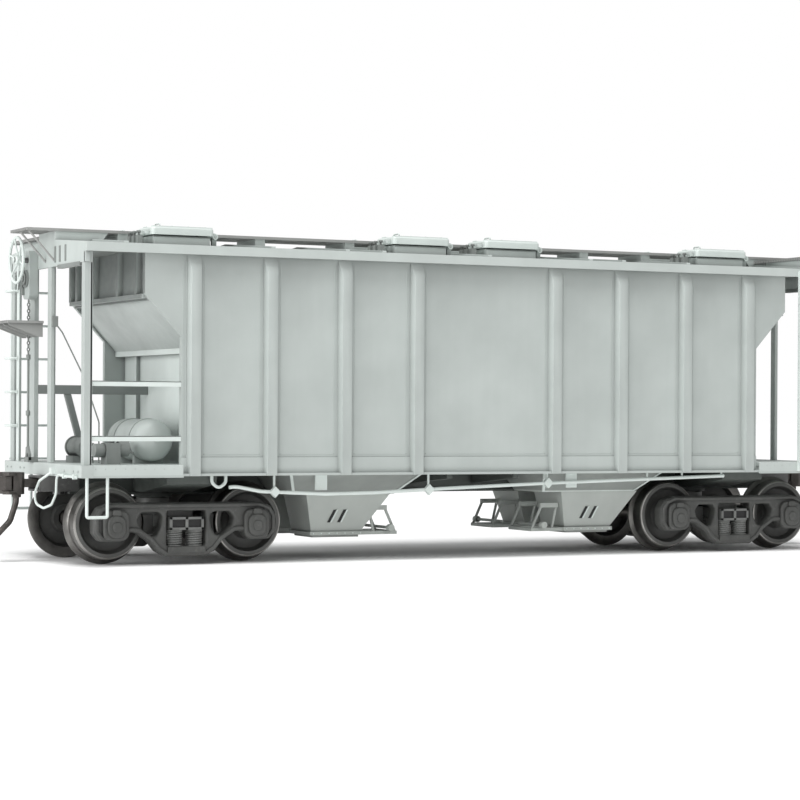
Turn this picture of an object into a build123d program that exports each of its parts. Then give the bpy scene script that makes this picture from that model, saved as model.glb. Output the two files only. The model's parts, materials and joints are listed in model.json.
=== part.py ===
from build123d import *
import math
import os

# Two-bay covered hopper car, HO scale.
# Frame: X along the track (the hand-brake end is at -X), Y across it, Z up.
# The origin is under the car's centre, at the bottom of the wheel flanges.
# Sizes are written in inches of the full-size car and turned into model
# millimetres here; heights are measured from the top of the rail.

SCALE = 87.1
INCH = 25.4 / SCALE
FLANGE_DEPTH = 0.64          # mm, NMRA RP-25 flange

# Body
POST_PITCH = 37.4
POST_FACE = 56.3
CORNER_POST_FACE = 53.3
SIDE_FACE = 52.7
SIDE_INNER = 50.2
SIDE_BOTTOM = 38.2
EAVE = 137.6
FASCIA_TOP = 141.7
RIDGE = 146.0
CEILING = 139.6
LOWER_END = 155.5
UPPER_END = 173.0
SLOPE_LOW = 100.7
SLOPE_HIGH = 119.7
ROOF_END = 201.4
LOWER_WALL = 145.0

# Underframe
SILL_TOP = 43.2
SILL_BOTTOM = 37.6
CENTRE_SILL_HALF = 6.5
CENTRE_SILL_BOTTOM = 28.5
CENTRE_SILL_END = 188.0
END_SILL_FACE = 203.4
BOLSTER_BOTTOM = 30.0
CENTRE_PLATE = 27.2

# Hopper bays: the outlet chutes lean the same way at both ends
BAY_CENTRE = 67.0
BAY_SHIFT = 137.8

# Trucks
TRUCK_CENTRE = 149.0
WHEELBASE = 68.0
WHEEL_RADIUS = 16.5
AXLE_HEIGHT = 16.5
FRAME_INNER = 10.75          # mm, inner face of a side frame
FRAME_OUTER = 12.9           # mm
FRAME_LID = 13.7             # mm
SPRING_SEAT = 6.3
SPRING_TOP = 13.5
SPRING_RADIUS = 4.1
WHEEL_BACK = 7.275           # mm, half the back-to-back distance
WHEEL_WIDTH = 2.79           # mm
FLANGE_WIDTH = 0.76          # mm
AXLE_RADIUS = 1.18           # mm
AXLE_SHOULDER = 10.6         # mm
AXLE_TIP = 12.3              # mm
SCREW_RADIUS = 1.05          # mm, truck screw
SCREW_CLEARANCE = 0.08       # mm

# Couplers
COUPLER_PIVOT = 195.0
COUPLER_HEIGHT = 34.0
BOX_FACE = 207.0
BOX_HALF = 8.6
BOX_BOTTOM = 30.2
BOX_TOP = 37.4
KNUCKLE_PIN_X = 25.6         # ahead of the coupler pivot
KNUCKLE_PIN_Y = 4.2

# Roof hatches and running board
HATCH_X = (-147.4, -24.9, 24.9, 147.4)
HATCH_HALF = 15.2
HATCH_OUTER = 33.5
HATCH_INNER = 14.0
HATCH_BASE = 147.8
HATCH_TOP = 151.4
HINGE_OFFSET = 17.0
HINGE_PIN = 0.16             # mm, radius
HINGE_BORE = 0.19            # mm, radius
BOARD_END = 215.0
BOARD_HALF = 12.4
BOARD_TOP = 150.3
BOARD_BOTTOM = 149.0
SADDLE_X = (-168.6, -99.9, -53.0, 0.0, 78.4, 115.2)
SEAM_X = (-183.0, -112.2, -74.8, -56.0, 0.0, 56.0, 74.8, 112.2, 183.0)
GABLE_BOTTOM = 132.9

# Hand brake
BRAKE_Y = 15.5
BRAKE_HEIGHT = 137.0
BRAKE_WHEEL_X = -211.0
BRAKE_WHEEL_RADIUS = 10.5
BRAKE_SHAFT_RADIUS = 0.35    # mm
BRAKE_ROD_X = -205.2
BRAKE_ROD_Y = 15.0

WIRE = 0.30                  # mm, diameter of the grab irons and rods

OUT = "parts"
os.makedirs(OUT, exist_ok=True)


def mm(inches):
    return inches * INCH


def height(inches):
    return FLANGE_DEPTH + inches * INCH


def save(name, *solids):
    export_step(Compound(children=list(solids)), os.path.join(OUT, name + ".step"))


def block(x, y, z):
    # A box between full-size limits.
    low = Vector(mm(min(x)), mm(min(y)), height(min(z)))
    high = Vector(mm(max(x)), mm(max(y)), height(max(z)))
    size = high - low
    return Pos(*((low + high) * 0.5)) * Box(size.X, size.Y, size.Z)


def prism_xz(points, y):
    # A plate with its outline in X and Z, between two Y values.
    low, high = mm(min(y)), mm(max(y))
    outline = [Vector(mm(px), low, height(pz)) for px, pz in points]
    face = make_face(Polyline(*outline, close=True))
    return extrude(face, amount=high - low, dir=(0, 1, 0))


def prism_yz(points, x):
    low, high = mm(min(x)), mm(max(x))
    outline = [Vector(low, mm(py), height(pz)) for py, pz in points]
    face = make_face(Polyline(*outline, close=True))
    return extrude(face, amount=high - low, dir=(1, 0, 0))


def prism_xy(points, z):
    low, high = height(min(z)), height(max(z))
    outline = [Vector(mm(px), mm(py), low) for px, py in points]
    face = make_face(Polyline(*outline, close=True))
    return extrude(face, amount=high - low, dir=(0, 0, 1))


def frustum(bottom, top):
    # A solid between two level rectangles, each ((x0, x1), (y0, y1), z).
    faces = []
    for x, y, z in (bottom, top):
        corners = [(x[0], y[0]), (x[1], y[0]), (x[1], y[1]), (x[0], y[1])]
        outline = [Vector(mm(px), mm(py), height(z)) for px, py in corners]
        faces.append(make_face(Polyline(*outline, close=True)))
    return loft(faces)


def bar(start, end, diameter):
    # A round bar between two full-size points, with its diameter in mm.
    a = Vector(mm(start[0]), mm(start[1]), height(start[2]))
    b = Vector(mm(end[0]), mm(end[1]), height(end[2]))
    plane = Plane(origin=a, z_dir=b - a)
    return extrude(plane * Circle(diameter / 2), amount=(b - a).length)


def bent_wire(points, bend, diameter=WIRE):
    # A wire through full-size points, with every corner rounded to bend mm.
    path = [Vector(mm(px), mm(py), height(pz)) for px, py, pz in points]
    if len(path) == 2:
        return bar(points[0], points[1], diameter)
    line = FilletPolyline(*path, radius=bend)
    plane = Plane(origin=path[0], z_dir=path[1] - path[0])
    return sweep(plane * Circle(diameter / 2), path=line)


def cylinder_y(x, z, radius, y_low, y_high):
    # A cylinder across the car; every value is in mm.
    plane = Plane(origin=(x, y_low, z), z_dir=(0, 1, 0))
    return extrude(plane * Circle(radius), amount=y_high - y_low)


def cylinder_x(y, z, radius, x_low, x_high):
    plane = Plane(origin=(x_low, y, z), z_dir=(1, 0, 0))
    return extrude(plane * Circle(radius), amount=x_high - x_low)


def cylinder_z(x, y, radius, z_low, z_high):
    return extrude(Plane(origin=(x, y, z_low)) * Circle(radius), amount=z_high - z_low)


def both_sides(shape):
    return [shape, mirror(shape, about=Plane.XZ)]


def union(shapes):
    total = shapes[0]
    for shape in shapes[1:]:
        total = total + shape
    return total


# ---------------------------------------------------------------- body

def side_sheet():
    outline = [(-LOWER_END, SIDE_BOTTOM), (LOWER_END, SIDE_BOTTOM), (LOWER_END, SLOPE_LOW),
               (UPPER_END, SLOPE_HIGH), (UPPER_END, CEILING), (-UPPER_END, CEILING),
               (-UPPER_END, SLOPE_HIGH), (-LOWER_END, SLOPE_LOW)]
    return prism_xz(outline, (-SIDE_FACE, -SIDE_INNER))


def side_post(x):
    # A pressed hat section with a sloping top.
    foot, face = 3.5, 2.35
    section = [(x - foot, -SIDE_FACE + 0.4), (x - face, -POST_FACE),
               (x + face, -POST_FACE), (x + foot, -SIDE_FACE + 0.4)]
    post = prism_xy(section, (SIDE_BOTTOM, EAVE))
    cap_start = 131.0
    profile = [(-SIDE_INNER, SIDE_BOTTOM), (-POST_FACE, SIDE_BOTTOM), (-POST_FACE, cap_start),
               (-SIDE_FACE, EAVE), (-SIDE_INNER, EAVE)]
    return post & prism_yz(profile, (x - foot, x + foot))


def side_sill():
    strip = block((-LOWER_END, LOWER_END), (-SIDE_FACE - 0.5, -SIDE_FACE), (SIDE_BOTTOM, 46.5))
    flange = block((-LOWER_END, LOWER_END), (-55.6, -SIDE_FACE), (SIDE_BOTTOM, 39.3))
    return strip + flange


def end_bulkhead():
    # The upper cross wall with its stiffeners, the slope sheet, its lower lip
    # and the recessed lower wall, at the +X end.
    recess = 3.0
    width = (-SIDE_INNER, SIDE_INNER)
    wall = block((UPPER_END - 4, UPPER_END - 2), width, (SLOPE_HIGH - recess, CEILING))
    ledge = block((UPPER_END - 2, UPPER_END + 0.6), width, (SLOPE_HIGH - 2, SLOPE_HIGH))
    slope = prism_xz([(UPPER_END - 4, SLOPE_HIGH), (UPPER_END - 2, SLOPE_HIGH), (LOWER_END - 5.5, 96.0),
                      (LOWER_END - 8.5, 96.0), (LOWER_END - 8.5, 98.0)], width)
    lip = block((LOWER_WALL, LOWER_END - 5.5), width, (93.5, 96.5))
    lower = block((LOWER_WALL - 2, LOWER_WALL), width, (SILL_TOP, 97.5))
    ribs = []
    for y in (-41.0, -16.5, 16.5, 41.0):
        ribs.append(block((UPPER_END - 2, UPPER_END + 0.4), (y - 1.4, y + 1.4), (SLOPE_HIGH, CEILING)))
    for y in (-30.0, 30.0):
        ribs.append(block((LOWER_WALL, LOWER_WALL + 2), (y - 1.2, y + 1.2), (SILL_TOP, 94.0)))
    return union([wall, ledge, slope, lip, lower] + ribs)


def body_shell():
    side = side_sheet() + side_sill()
    for number in range(1, 5):
        for x in (-POST_PITCH * number, POST_PITCH * number):
            side = side + side_post(x)
    shell = side + mirror(side, about=Plane.XZ)
    ends = end_bulkhead()
    shell = shell + ends + mirror(ends, about=Plane.YZ)
    return shell


def steel_weight():
    # The ballast plate, resting on the floor inside the shell.
    return block((-110, 110), (-40, 40), (40.4, 46))


def hatch_coaming(x, side):
    outer = block((x - 13.7, x + 13.7), (side * 32.0, side * 15.6), (142.5, HATCH_BASE - 0.5))
    inner = block((x - 12.3, x + 12.3), (side * 30.6, side * 17.0), (146.2, HATCH_BASE + 1))
    return outer, inner


def roof():
    lip = 2.0
    profile = [(-POST_FACE, EAVE), (-POST_FACE, FASCIA_TOP), (0, RIDGE), (POST_FACE, FASCIA_TOP),
               (POST_FACE, EAVE), (POST_FACE - lip, EAVE), (POST_FACE - lip, CEILING),
               (-POST_FACE + lip, CEILING), (-POST_FACE + lip, EAVE)]
    shape = prism_yz(profile, (-ROOF_END, ROOF_END))
    for end in (-1, 1):
        gable_width = (-POST_FACE + lip, POST_FACE - lip)
        shape = shape + block((end * (ROOF_END - lip), end * ROOF_END), gable_width,
                              (GABLE_BOTTOM, CEILING + 0.5))
    edge, seam_height = -POST_FACE + 0.3, 0.9
    seam = [(edge, FASCIA_TOP), (0, RIDGE), (0, RIDGE + seam_height), (edge, FASCIA_TOP + seam_height)]
    for x in SEAM_X:
        cap = prism_yz(seam, (x - 1.0, x + 1.0))
        shape = shape + cap + mirror(cap, about=Plane.XZ)
    for x in HATCH_X:
        for side in (-1, 1):
            outer, inner = hatch_coaming(x, side)
            shape = shape + outer - inner
            for y in (side * 20.0, side * 28.0):
                shape = shape + hinge_lug(x, y)
    saddle_y = (-BOARD_HALF + 1.0, BOARD_HALF - 1.0)
    for x in SADDLE_X:
        shape = shape + block((x - 2.5, x + 2.5), saddle_y, (144.5, BOARD_BOTTOM))
    for end in (-1, 1):
        support = [(end * ROOF_END, 145.0), (end * ROOF_END, BOARD_BOTTOM),
                   (end * 176.0, BOARD_BOTTOM), (end * 179.0, 145.0)]
        shape = shape + prism_xz(support, (-BOARD_HALF + 0.4, BOARD_HALF - 0.4))
        shape = shape + lateral_feet(end)
    return shape


def hinge_lug(x, y):
    # A lug under the hinge pin of one hatch, with the pin through it.
    pin_x = x + HINGE_OFFSET
    lug = block((pin_x - 1.1, pin_x + 1.1), (y - 0.9, y + 0.9), (142.8, HATCH_BASE + 1.0))
    pin = cylinder_y(mm(pin_x), height(HATCH_BASE), HINGE_PIN, mm(y - 2.6), mm(y + 2.6))
    return lug + pin


def hatch_cover(x, side):
    inner_edge, outer_edge = side * HATCH_INNER, side * HATCH_OUTER
    wall = 1.3
    lid = block((x - HATCH_HALF, x + HATCH_HALF), (inner_edge, outer_edge), (HATCH_BASE, HATCH_TOP))
    lid = fillet(lid.edges().filter_by(Axis.Z), radius=0.5)
    lid = fillet(lid.faces().sort_by(Axis.Z)[-1].edges(), radius=0.3)
    lid = lid - block((x - HATCH_HALF + wall, x + HATCH_HALF - wall),
                      (inner_edge + side * wall, outer_edge - side * wall),
                      (HATCH_BASE - 1, HATCH_TOP - wall))
    for y in (side * 18.6, side * 24.0, side * 29.4):
        lid = lid + block((x - HATCH_HALF - 2.2, x - HATCH_HALF + 1.5), (y - 1.0, y + 1.0),
                          (HATCH_BASE + 0.2, HATCH_BASE + 1.8))
    knuckles = []
    for y in (side * 20.0, side * 28.0):
        for step in (-1, 1):
            knuckles.append(hinge_knuckle(x, y + step * 1.85))
    return union([lid] + knuckles)


def hinge_knuckle(x, y):
    # An ear of the cover that turns on the hinge pin.
    half = 0.65
    pin_x, z = x + HINGE_OFFSET, height(HATCH_BASE)
    arm = block((x + HATCH_HALF - 1.0, pin_x), (y - half, y + half), (HATCH_BASE - 0.2, HATCH_BASE + 1.6))
    barrel = cylinder_y(mm(pin_x), z, 0.40, mm(y - half), mm(y + half))
    hole = cylinder_y(mm(pin_x), z, HINGE_BORE, mm(y - half) - 1, mm(y + half) + 1)
    return arm + barrel - hole


# ------------------------------------------------------- running boards

def lateral_feet(end):
    # The cleats that carry the lateral board at one ladder corner.
    side = end * -1
    feet = block((end * 184, end * 186), (side * 20, side * 53), (141.5, 146.6))
    return feet + block((end * 196, end * 198), (side * 20, side * 53), (141.5, 146.6))


def running_board():
    planks = []
    for y in (-BOARD_HALF, -3.9, 4.6):
        planks.append(block((-BOARD_END, BOARD_END), (y, y + 7.8), (BOARD_BOTTOM, BOARD_TOP)))
    for x in range(-210, 211, 30):
        planks.append(block((x - 0.8, x + 0.8), (-BOARD_HALF, BOARD_HALF), (BOARD_BOTTOM, BOARD_TOP)))
    return union(planks)


def lateral_board(end):
    side = end * -1
    return block((end * 181.5, end * ROOF_END), (side * BOARD_HALF, side * 55.8), (146.6, 148.0))


def board_braces():
    braces = []
    for end, far_y in ((-1, 1.6), (1, 11.0)):
        for y in (-11.0, far_y):
            braces.append(bar((end * 213.6, y, BOARD_BOTTOM), (end * ROOF_END, y, 135.5), 0.28))
    return braces


# ------------------------------------------------------ end framing

def corner_post(x_end, y_side):
    outer_x, outer_y = x_end * ROOF_END, y_side * CORNER_POST_FACE
    end_leg = block((x_end * (ROOF_END - 1.0), outer_x), (y_side * 49.2, outer_y), (SILL_TOP, GABLE_BOTTOM))
    side_leg = block((x_end * (ROOF_END - 3.8), outer_x), (y_side * (CORNER_POST_FACE - 1.0), outer_y),
                     (SILL_TOP, GABLE_BOTTOM))
    return end_leg + side_leg


def centre_post(end):
    face = block((end * (ROOF_END - 1.0), end * ROOF_END), (-6.7, -1.6), (SILL_TOP, GABLE_BOTTOM))
    web = block((end * (ROOF_END - 1.8), end * ROOF_END), (-6.7, -5.7), (SILL_TOP, GABLE_BOTTOM))
    return face + web


def brake_post(end):
    # A wide channel behind the hand brake, and a narrower one at the other end.
    outer = 25.5 if end < 0 else 21.4
    face = block((end * (ROOF_END - 1.0), end * ROOF_END), (18.0, outer), (SILL_TOP, GABLE_BOTTOM))
    web = block((end * (ROOF_END - 2.2), end * ROOF_END), (18.0, 19.0), (SILL_TOP, GABLE_BOTTOM))
    return face + web


def end_posts(end):
    solids = [corner_post(end, side) for side in (-1, 1)]
    solids.append(centre_post(end))
    solids.append(brake_post(end))
    solids.append(block((end * LOWER_WALL, end * (ROOF_END - 2.2)), (17.6, 20.6), (75.0, 79.2)))
    strut = prism_xz([(end * 186.3, 75.0), (end * 183.2, 75.0),
                      (end * 174.4, SILL_TOP), (end * 177.5, SILL_TOP)], (17.9, 20.3))
    solids.append(strut)
    return solids


# ---------------------------------------------------------- underframe

def centre_sill():
    outer, web, lip = CENTRE_SILL_HALF, 1.2, 8.4
    bottom, top = CENTRE_SILL_BOTTOM, SIDE_BOTTOM
    inner = outer - web
    profile = [(-lip, bottom), (-inner, bottom), (-inner, top - 1.4), (inner, top - 1.4),
               (inner, bottom), (lip, bottom), (lip, bottom + 1.1), (outer, bottom + 1.1),
               (outer, top), (-outer, top), (-outer, bottom + 1.1), (-lip, bottom + 1.1)]
    return prism_yz(profile, (-CENTRE_SILL_END, CENTRE_SILL_END))


def body_bolster(end):
    x = (end * (TRUCK_CENTRE - 12), end * (TRUCK_CENTRE + 12))
    profile = [(-SIDE_INNER, 34.5), (-20, BOLSTER_BOTTOM), (20, BOLSTER_BOTTOM), (SIDE_INNER, 34.5),
               (SIDE_INNER, SIDE_BOTTOM), (-SIDE_INNER, SIDE_BOTTOM)]
    beam = prism_yz(profile, x)
    plate_x, plate_z = mm(end * TRUCK_CENTRE), height(CENTRE_PLATE)
    boss = cylinder_z(plate_x, 0, mm(9.0), plate_z, height(SIDE_BOTTOM))
    hole = cylinder_z(plate_x, 0, SCREW_RADIUS, plate_z - 1, height(37.0))
    return beam + boss, hole


def end_deck(end):
    deck = block((end * LOWER_END, end * ROOF_END), (-POST_FACE, POST_FACE), (41.4, SILL_TOP))
    inner = block((end * (LOWER_WALL - 2), end * LOWER_END), (-SIDE_INNER, SIDE_INNER), (41.4, SILL_TOP))
    sill = block((end * ROOF_END, end * END_SILL_FACE), (-POST_FACE, POST_FACE), (SILL_BOTTOM, SILL_TOP))
    shape = deck + inner + sill
    for side in (-1, 1):
        edge = (side * (POST_FACE - 1.0), side * POST_FACE)
        shape = shape + block((end * LOWER_END, end * ROOF_END), edge, (SILL_BOTTOM, SILL_TOP))
    stringer_y = (-CENTRE_SILL_HALF, CENTRE_SILL_HALF)
    return shape + block((end * 161, end * ROOF_END), stringer_y, (SIDE_BOTTOM, 41.4))


def underframe():
    shape = block((-LOWER_WALL + 2, LOWER_WALL - 2), (-SIDE_INNER, SIDE_INNER), (SIDE_BOTTOM, 40.2))
    for end in (-1, 1):
        riser = block((end * 137, end * 161), (-SIDE_INNER, SIDE_INNER), (SIDE_BOTTOM, 41.6))
        shape = shape + riser + end_deck(end)
    return shape


def sill_and_bolsters():
    shape = centre_sill()
    for end in (-1, 1):
        beam, hole = body_bolster(end)
        shape = shape + beam - hole
    for x in (-18.0, 18.0):
        tie = prism_yz([(-SIDE_INNER, 36.0), (-8, 32.5), (8, 32.5), (SIDE_INNER, 36.0),
                        (SIDE_INNER, SIDE_BOTTOM), (-SIDE_INNER, SIDE_BOTTOM)], (x - 1.5, x + 1.5))
        shape = shape + tie
    return shape


# --------------------------------------------------------- hopper bays

def hopper_bay(end):
    # Upper funnel and lower outlet chute on each side of the centre sill.
    shift = 0.0 if end < 0 else BAY_SHIFT
    solids = []
    centre = end * BAY_CENTRE
    for side in (-1, 1):
        funnel = frustum(((centre - 26.5, centre + 26.5), (side * 8.6, side * 36.0), 28.6),
                         ((centre - 34.0, centre + 34.0), (side * 8.6, side * 50.0), SIDE_BOTTOM))
        chute = frustum(((-81.4 + shift, -56.2 + shift), (side * 8.6, side * 31.0), 10.2),
                        ((-86.2 + shift, -42.4 + shift), (side * 8.6, side * 36.0), 28.8))
        rim = block((-82.6 + shift, -54.6 + shift), (side * 8.0, side * 32.2), (9.2, 11.0))
        solids.append(funnel + chute + rim)
    return solids


def outlet_gate(end, side, bay):
    # The sliding gate, its two rails, cross bar, knee braces and capstan shaft.
    shift = 0.0 if end < 0 else BAY_SHIFT
    chute_inner = -54.6 if end < 0 else -82.6 + shift
    step = 1 if end < 0 else -1
    far = chute_inner + step * 18.0
    plate = block((-80.5 + shift, -56.5 + shift), (side * 9.5, side * 30.5), (8.2, 9.1))
    rails = []
    for y in (side * 9.4, side * 30.6):
        rails.append(block((chute_inner, far), (y - 0.9, y + 0.9), (9.2, 10.8)))
        near_top, far_top = chute_inner + step * 2.6, chute_inner + step * 12.7
        rails.append(bar((far_top - step * 1.2, y, 22.4), (far - step * 0.8, y, 10.4), 0.40))
        rails.append(bar((near_top + step, y, 20.6), (near_top + step * 3.4, y, 10.4), 0.40))
        rails.append(block((near_top, far_top), (y - 0.8, y + 0.8), (20.8, 23.0)))
    rails.append(block((far - step * 2.2, far), (side * 9.4, side * 30.6), (9.2, 10.8)))
    shaft_x, shaft_z = far - step * 5.0, 12.4
    rails.append(bar((shaft_x, side * 7.2, shaft_z), (shaft_x, side * 33.6, shaft_z), 0.42))
    rails.append(bar((shaft_x, side * 33.0, shaft_z), (shaft_x, side * 36.0, shaft_z), 0.95))
    return plate, union(rails) - bay


# -------------------------------------------------------------- trucks

def truck_x(end):
    return end * TRUCK_CENTRE


def wheel(x, side):
    # RP-25 wheel turned about the axle line.
    z = height(AXLE_HEIGHT)
    tread, flange = mm(WHEEL_RADIUS), mm(WHEEL_RADIUS) + FLANGE_DEPTH
    back, front = WHEEL_BACK, WHEEL_BACK + WHEEL_WIDTH
    hub, rim = 1.9, 4.0
    profile = [(AXLE_RADIUS, back - 0.25), (hub, back - 0.25), (hub + 0.3, back + 0.55),
               (rim - 0.3, back + 0.75), (rim, back), (flange - 0.22, back), (flange, back + 0.28),
               (flange - 0.10, back + 0.52), (tread + 0.10, back + FLANGE_WIDTH),
               (tread - 0.04, front - 0.25), (tread - 0.25, front), (rim, front),
               (rim - 0.25, front - 0.85), (hub + 0.3, front - 1.10), (hub, front - 0.2),
               (AXLE_RADIUS, front - 0.2)]
    outline = [Vector(x + radius, side * y, z) for radius, y in profile]
    face = make_face(Polyline(*outline, close=True))
    return revolve(face, axis=Axis((x, 0, z), (0, 1, 0)))


def axle(x):
    z = height(AXLE_HEIGHT)
    point = 0.12
    profile = [(0, -AXLE_TIP), (point, -AXLE_TIP), (AXLE_RADIUS, -AXLE_SHOULDER),
               (AXLE_RADIUS, AXLE_SHOULDER), (point, AXLE_TIP), (0, AXLE_TIP)]
    outline = [Vector(x + radius, y, z) for radius, y in profile]
    face = make_face(Polyline(*outline, close=True))
    return revolve(face, axis=Axis((x, 0, z), (0, 1, 0)))


def slab_xz(points, centre, y_low, y_high, bend):
    # A plate between two Y values in mm, with its corners rounded.
    outline = [Vector(mm(centre + px), y_low, height(pz)) for px, pz in points]
    face = make_face(Polyline(*outline, close=True))
    if bend > 0:
        face = fillet(face.vertices(), radius=bend)
    return extrude(face, amount=y_high - y_low, dir=(0, 1, 0))


def side_frame(end):
    # Cast frame with two rounded triangular openings, the spring window,
    # journal boxes with lids, and the cups for the axle points.
    centre = truck_x(end)
    right = [(10.0, 1.6), (14.2, 4.2), (17.8, 8.6), (24.0, 12.6), (27.5, 12.8), (30.5, 8.8), (41.0, 8.8),
             (44.0, 12.5), (44.0, 20.0), (41.5, 24.2), (36.0, 26.0)]
    outline = right + [(-px, pz) for px, pz in reversed(right)]
    frame = slab_xz(outline, centre, -FRAME_OUTER, -FRAME_INNER, 0.25)
    opening = [(11.2, 20.0), (13.2, 22.1), (21.6, 22.1), (24.0, 18.8), (22.6, 15.2), (17.4, 10.8),
               (14.0, 10.7), (12.0, 14.6)]
    for step in (-1, 1):
        hole = [(step * px, pz) for px, pz in opening]
        frame = frame - slab_xz(hole, centre, -FRAME_OUTER - 1, -FRAME_INNER + 1, 0.2)
    window = [(-9.8, SPRING_SEAT), (9.8, SPRING_SEAT), (9.8, 22.3), (-9.8, 22.3)]
    frame = frame - slab_xz(window, centre, -FRAME_OUTER - 1, -FRAME_INNER + 1, 0.2)
    for step in (-1, 1):
        journal = centre + step * WHEELBASE / 2
        box = slab_xz([(-6.2, 9.6), (6.2, 9.6), (6.2, 22.6), (-6.2, 22.6)], journal,
                      -FRAME_LID + 0.25, -FRAME_INNER, 0.4)
        lid = slab_xz([(-4.8, 10.8), (4.8, 10.8), (4.8, 21.6), (-4.8, 21.6)], journal,
                      -FRAME_LID, -FRAME_LID + 0.5, 0.5)
        frame = frame + box + lid
        frame = frame - axle_cup(mm(journal))
    return frame


def axle_cup(x):
    z = height(AXLE_HEIGHT)
    bottom, mouth = -AXLE_TIP - 0.12, AXLE_RADIUS + 0.07
    profile = [(0, bottom), (0.20, bottom), (mouth, -AXLE_SHOULDER - 0.02),
               (mouth, -AXLE_SHOULDER + 0.3), (0, -AXLE_SHOULDER + 0.3)]
    outline = [Vector(x + radius, y, z) for radius, y in profile]
    face = make_face(Polyline(*outline, close=True))
    return revolve(face, axis=Axis((x, 0, z), (0, 1, 0)))


def truck_bolster(end):
    centre = truck_x(end)
    beam = block((centre - 6.0, centre + 6.0), (-35.5, 35.5), (12.0, 22.5))
    tongue = block((centre - 8.2, centre + 8.2), (-43.4, 43.4), (SPRING_TOP, 19.4))
    top = height(CENTRE_PLATE) - 0.10
    plate = cylinder_z(mm(centre), 0, mm(7.6), height(22.0), top)
    hole = cylinder_z(mm(centre), 0, SCREW_RADIUS + SCREW_CLEARANCE, 0, top + 1)
    bearings = [cylinder_z(mm(centre), mm(y), 0.7, height(22.0), height(25.0)) for y in (-25.0, 25.0)]
    return union([beam, tongue, plate] + bearings) - hole


def truck_springs(end):
    centre = truck_x(end)
    coils = []
    for y in (-40.0, 40.0):
        for x in (-4.9, 4.9):
            coils.append(cylinder_z(mm(centre + x), mm(y), mm(SPRING_RADIUS),
                                    height(SPRING_SEAT), height(SPRING_TOP)))
    return coils


def brake_beams(end):
    centre = truck_x(end)
    solids = []
    for step in (-1, 1):
        x = centre + step * 11.6
        beam = block((x - 1.0, x + 1.0), (-FRAME_INNER / INCH, FRAME_INNER / INCH), (12.4, 14.6))
        reach = WHEEL_RADIUS + 0.5
        tyre = cylinder_y(mm(centre + step * WHEELBASE / 2), height(AXLE_HEIGHT), mm(reach), -15, 15)
        for side in (-1, 1):
            shoe_y = (side * 27.6, side * 33.6)
            shoe = block((centre + step * 12.2, centre + step * 19.0), shoe_y, (11.4, 20.4))
            beam = beam + (shoe - tyre)
        solids.append(beam)
    return solids


def truck_screw(end):
    x = mm(truck_x(end))
    head_top = height(12.0) - 0.10
    shank = cylinder_z(x, 0, SCREW_RADIUS, head_top - 0.2, height(36.0))
    head = cylinder_z(x, 0, 1.9, head_top - 1.0, head_top)
    slot = Pos(x, 0, head_top - 1.0) * Box(4.0, 0.4, 0.7)
    return shank + head - slot


# ------------------------------------------------------------ couplers

def coupler_box(end):
    # The draft gear box: a shell open to the front, with the pivot post.
    back, face = end * (CENTRE_SILL_END), end * BOX_FACE
    shell = block((back, face), (-BOX_HALF, BOX_HALF), (BOX_BOTTOM + 1.0, BOX_TOP))
    cavity = block((back + end * 1.6, face + end * 2), (-BOX_HALF + 1.5, BOX_HALF - 1.5),
                   (BOX_BOTTOM, BOX_TOP - 1.0))
    post = cylinder_z(mm(end * COUPLER_PIVOT), 0, 0.75, height(BOX_BOTTOM + 1.0), height(BOX_TOP - 0.5))
    hole = cylinder_z(mm(end * COUPLER_PIVOT), 0, 0.4, height(BOX_BOTTOM) - 1, height(BOX_TOP - 1.5))
    return shell - cavity + post - hole


def coupler_lid(end):
    lid = block((end * CENTRE_SILL_END, end * BOX_FACE), (-BOX_HALF, BOX_HALF),
                (BOX_BOTTOM, BOX_BOTTOM + 1.0))
    hole = cylinder_z(mm(end * COUPLER_PIVOT), 0, 0.4, height(BOX_BOTTOM) - 1, height(BOX_TOP))
    return lid - hole


def coupler_screw(end):
    x = mm(end * COUPLER_PIVOT)
    bottom = height(BOX_BOTTOM)
    head = cylinder_z(x, 0, 0.8, bottom - 0.45, bottom)
    return head + cylinder_z(x, 0, 0.4, bottom - 0.1, height(BOX_TOP - 2.0))


def coupler_body(end):
    # Shank and head with its fixed jaw; drawn for the +X end, then turned.
    x0 = COUPLER_PIVOT
    low, high = COUPLER_HEIGHT - 1.9, COUPLER_HEIGHT + 1.9
    ring = cylinder_z(mm(x0), 0, 1.25, height(low), height(high))
    shank = block((x0, x0 + 20.0), (-2.9, 2.9), (low, high))
    jaw = [(x0 + 17.5, -4.2), (x0 + 20.5, -6.6), (x0 + 30.8, -7.0), (x0 + 31.6, -5.8),
           (x0 + 26.6, -3.4), (x0 + 25.0, -0.6), (x0 + 23.4, 1.0), (x0 + 23.4, 5.6),
           (x0 + 19.4, 5.6), (x0 + 17.5, 3.4)]
    head = prism_xy(jaw, (COUPLER_HEIGHT - 5.0, COUPLER_HEIGHT + 5.0))
    ears = []
    for z in ((COUPLER_HEIGHT - 5.0, COUPLER_HEIGHT - 3.5), (COUPLER_HEIGHT + 3.5, COUPLER_HEIGHT + 5.0)):
        ears.append(prism_xy([(x0 + 22.0, 1.0), (x0 + 27.4, 1.4), (x0 + 28.2, 5.6),
                              (x0 + 26.0, 7.2), (x0 + 22.0, 6.4)], z))
    pin = cylinder_z(mm(x0 + KNUCKLE_PIN_X), mm(KNUCKLE_PIN_Y), 0.26,
                     height(COUPLER_HEIGHT - 5.0), height(COUPLER_HEIGHT + 5.0))
    hole = cylinder_z(mm(x0), 0, 0.81, height(low) - 1, height(high) + 1)
    shape = union([ring, shank, head] + ears + [pin]) - hole
    return shape if end > 0 else Rot(0, 0, 180) * shape


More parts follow.
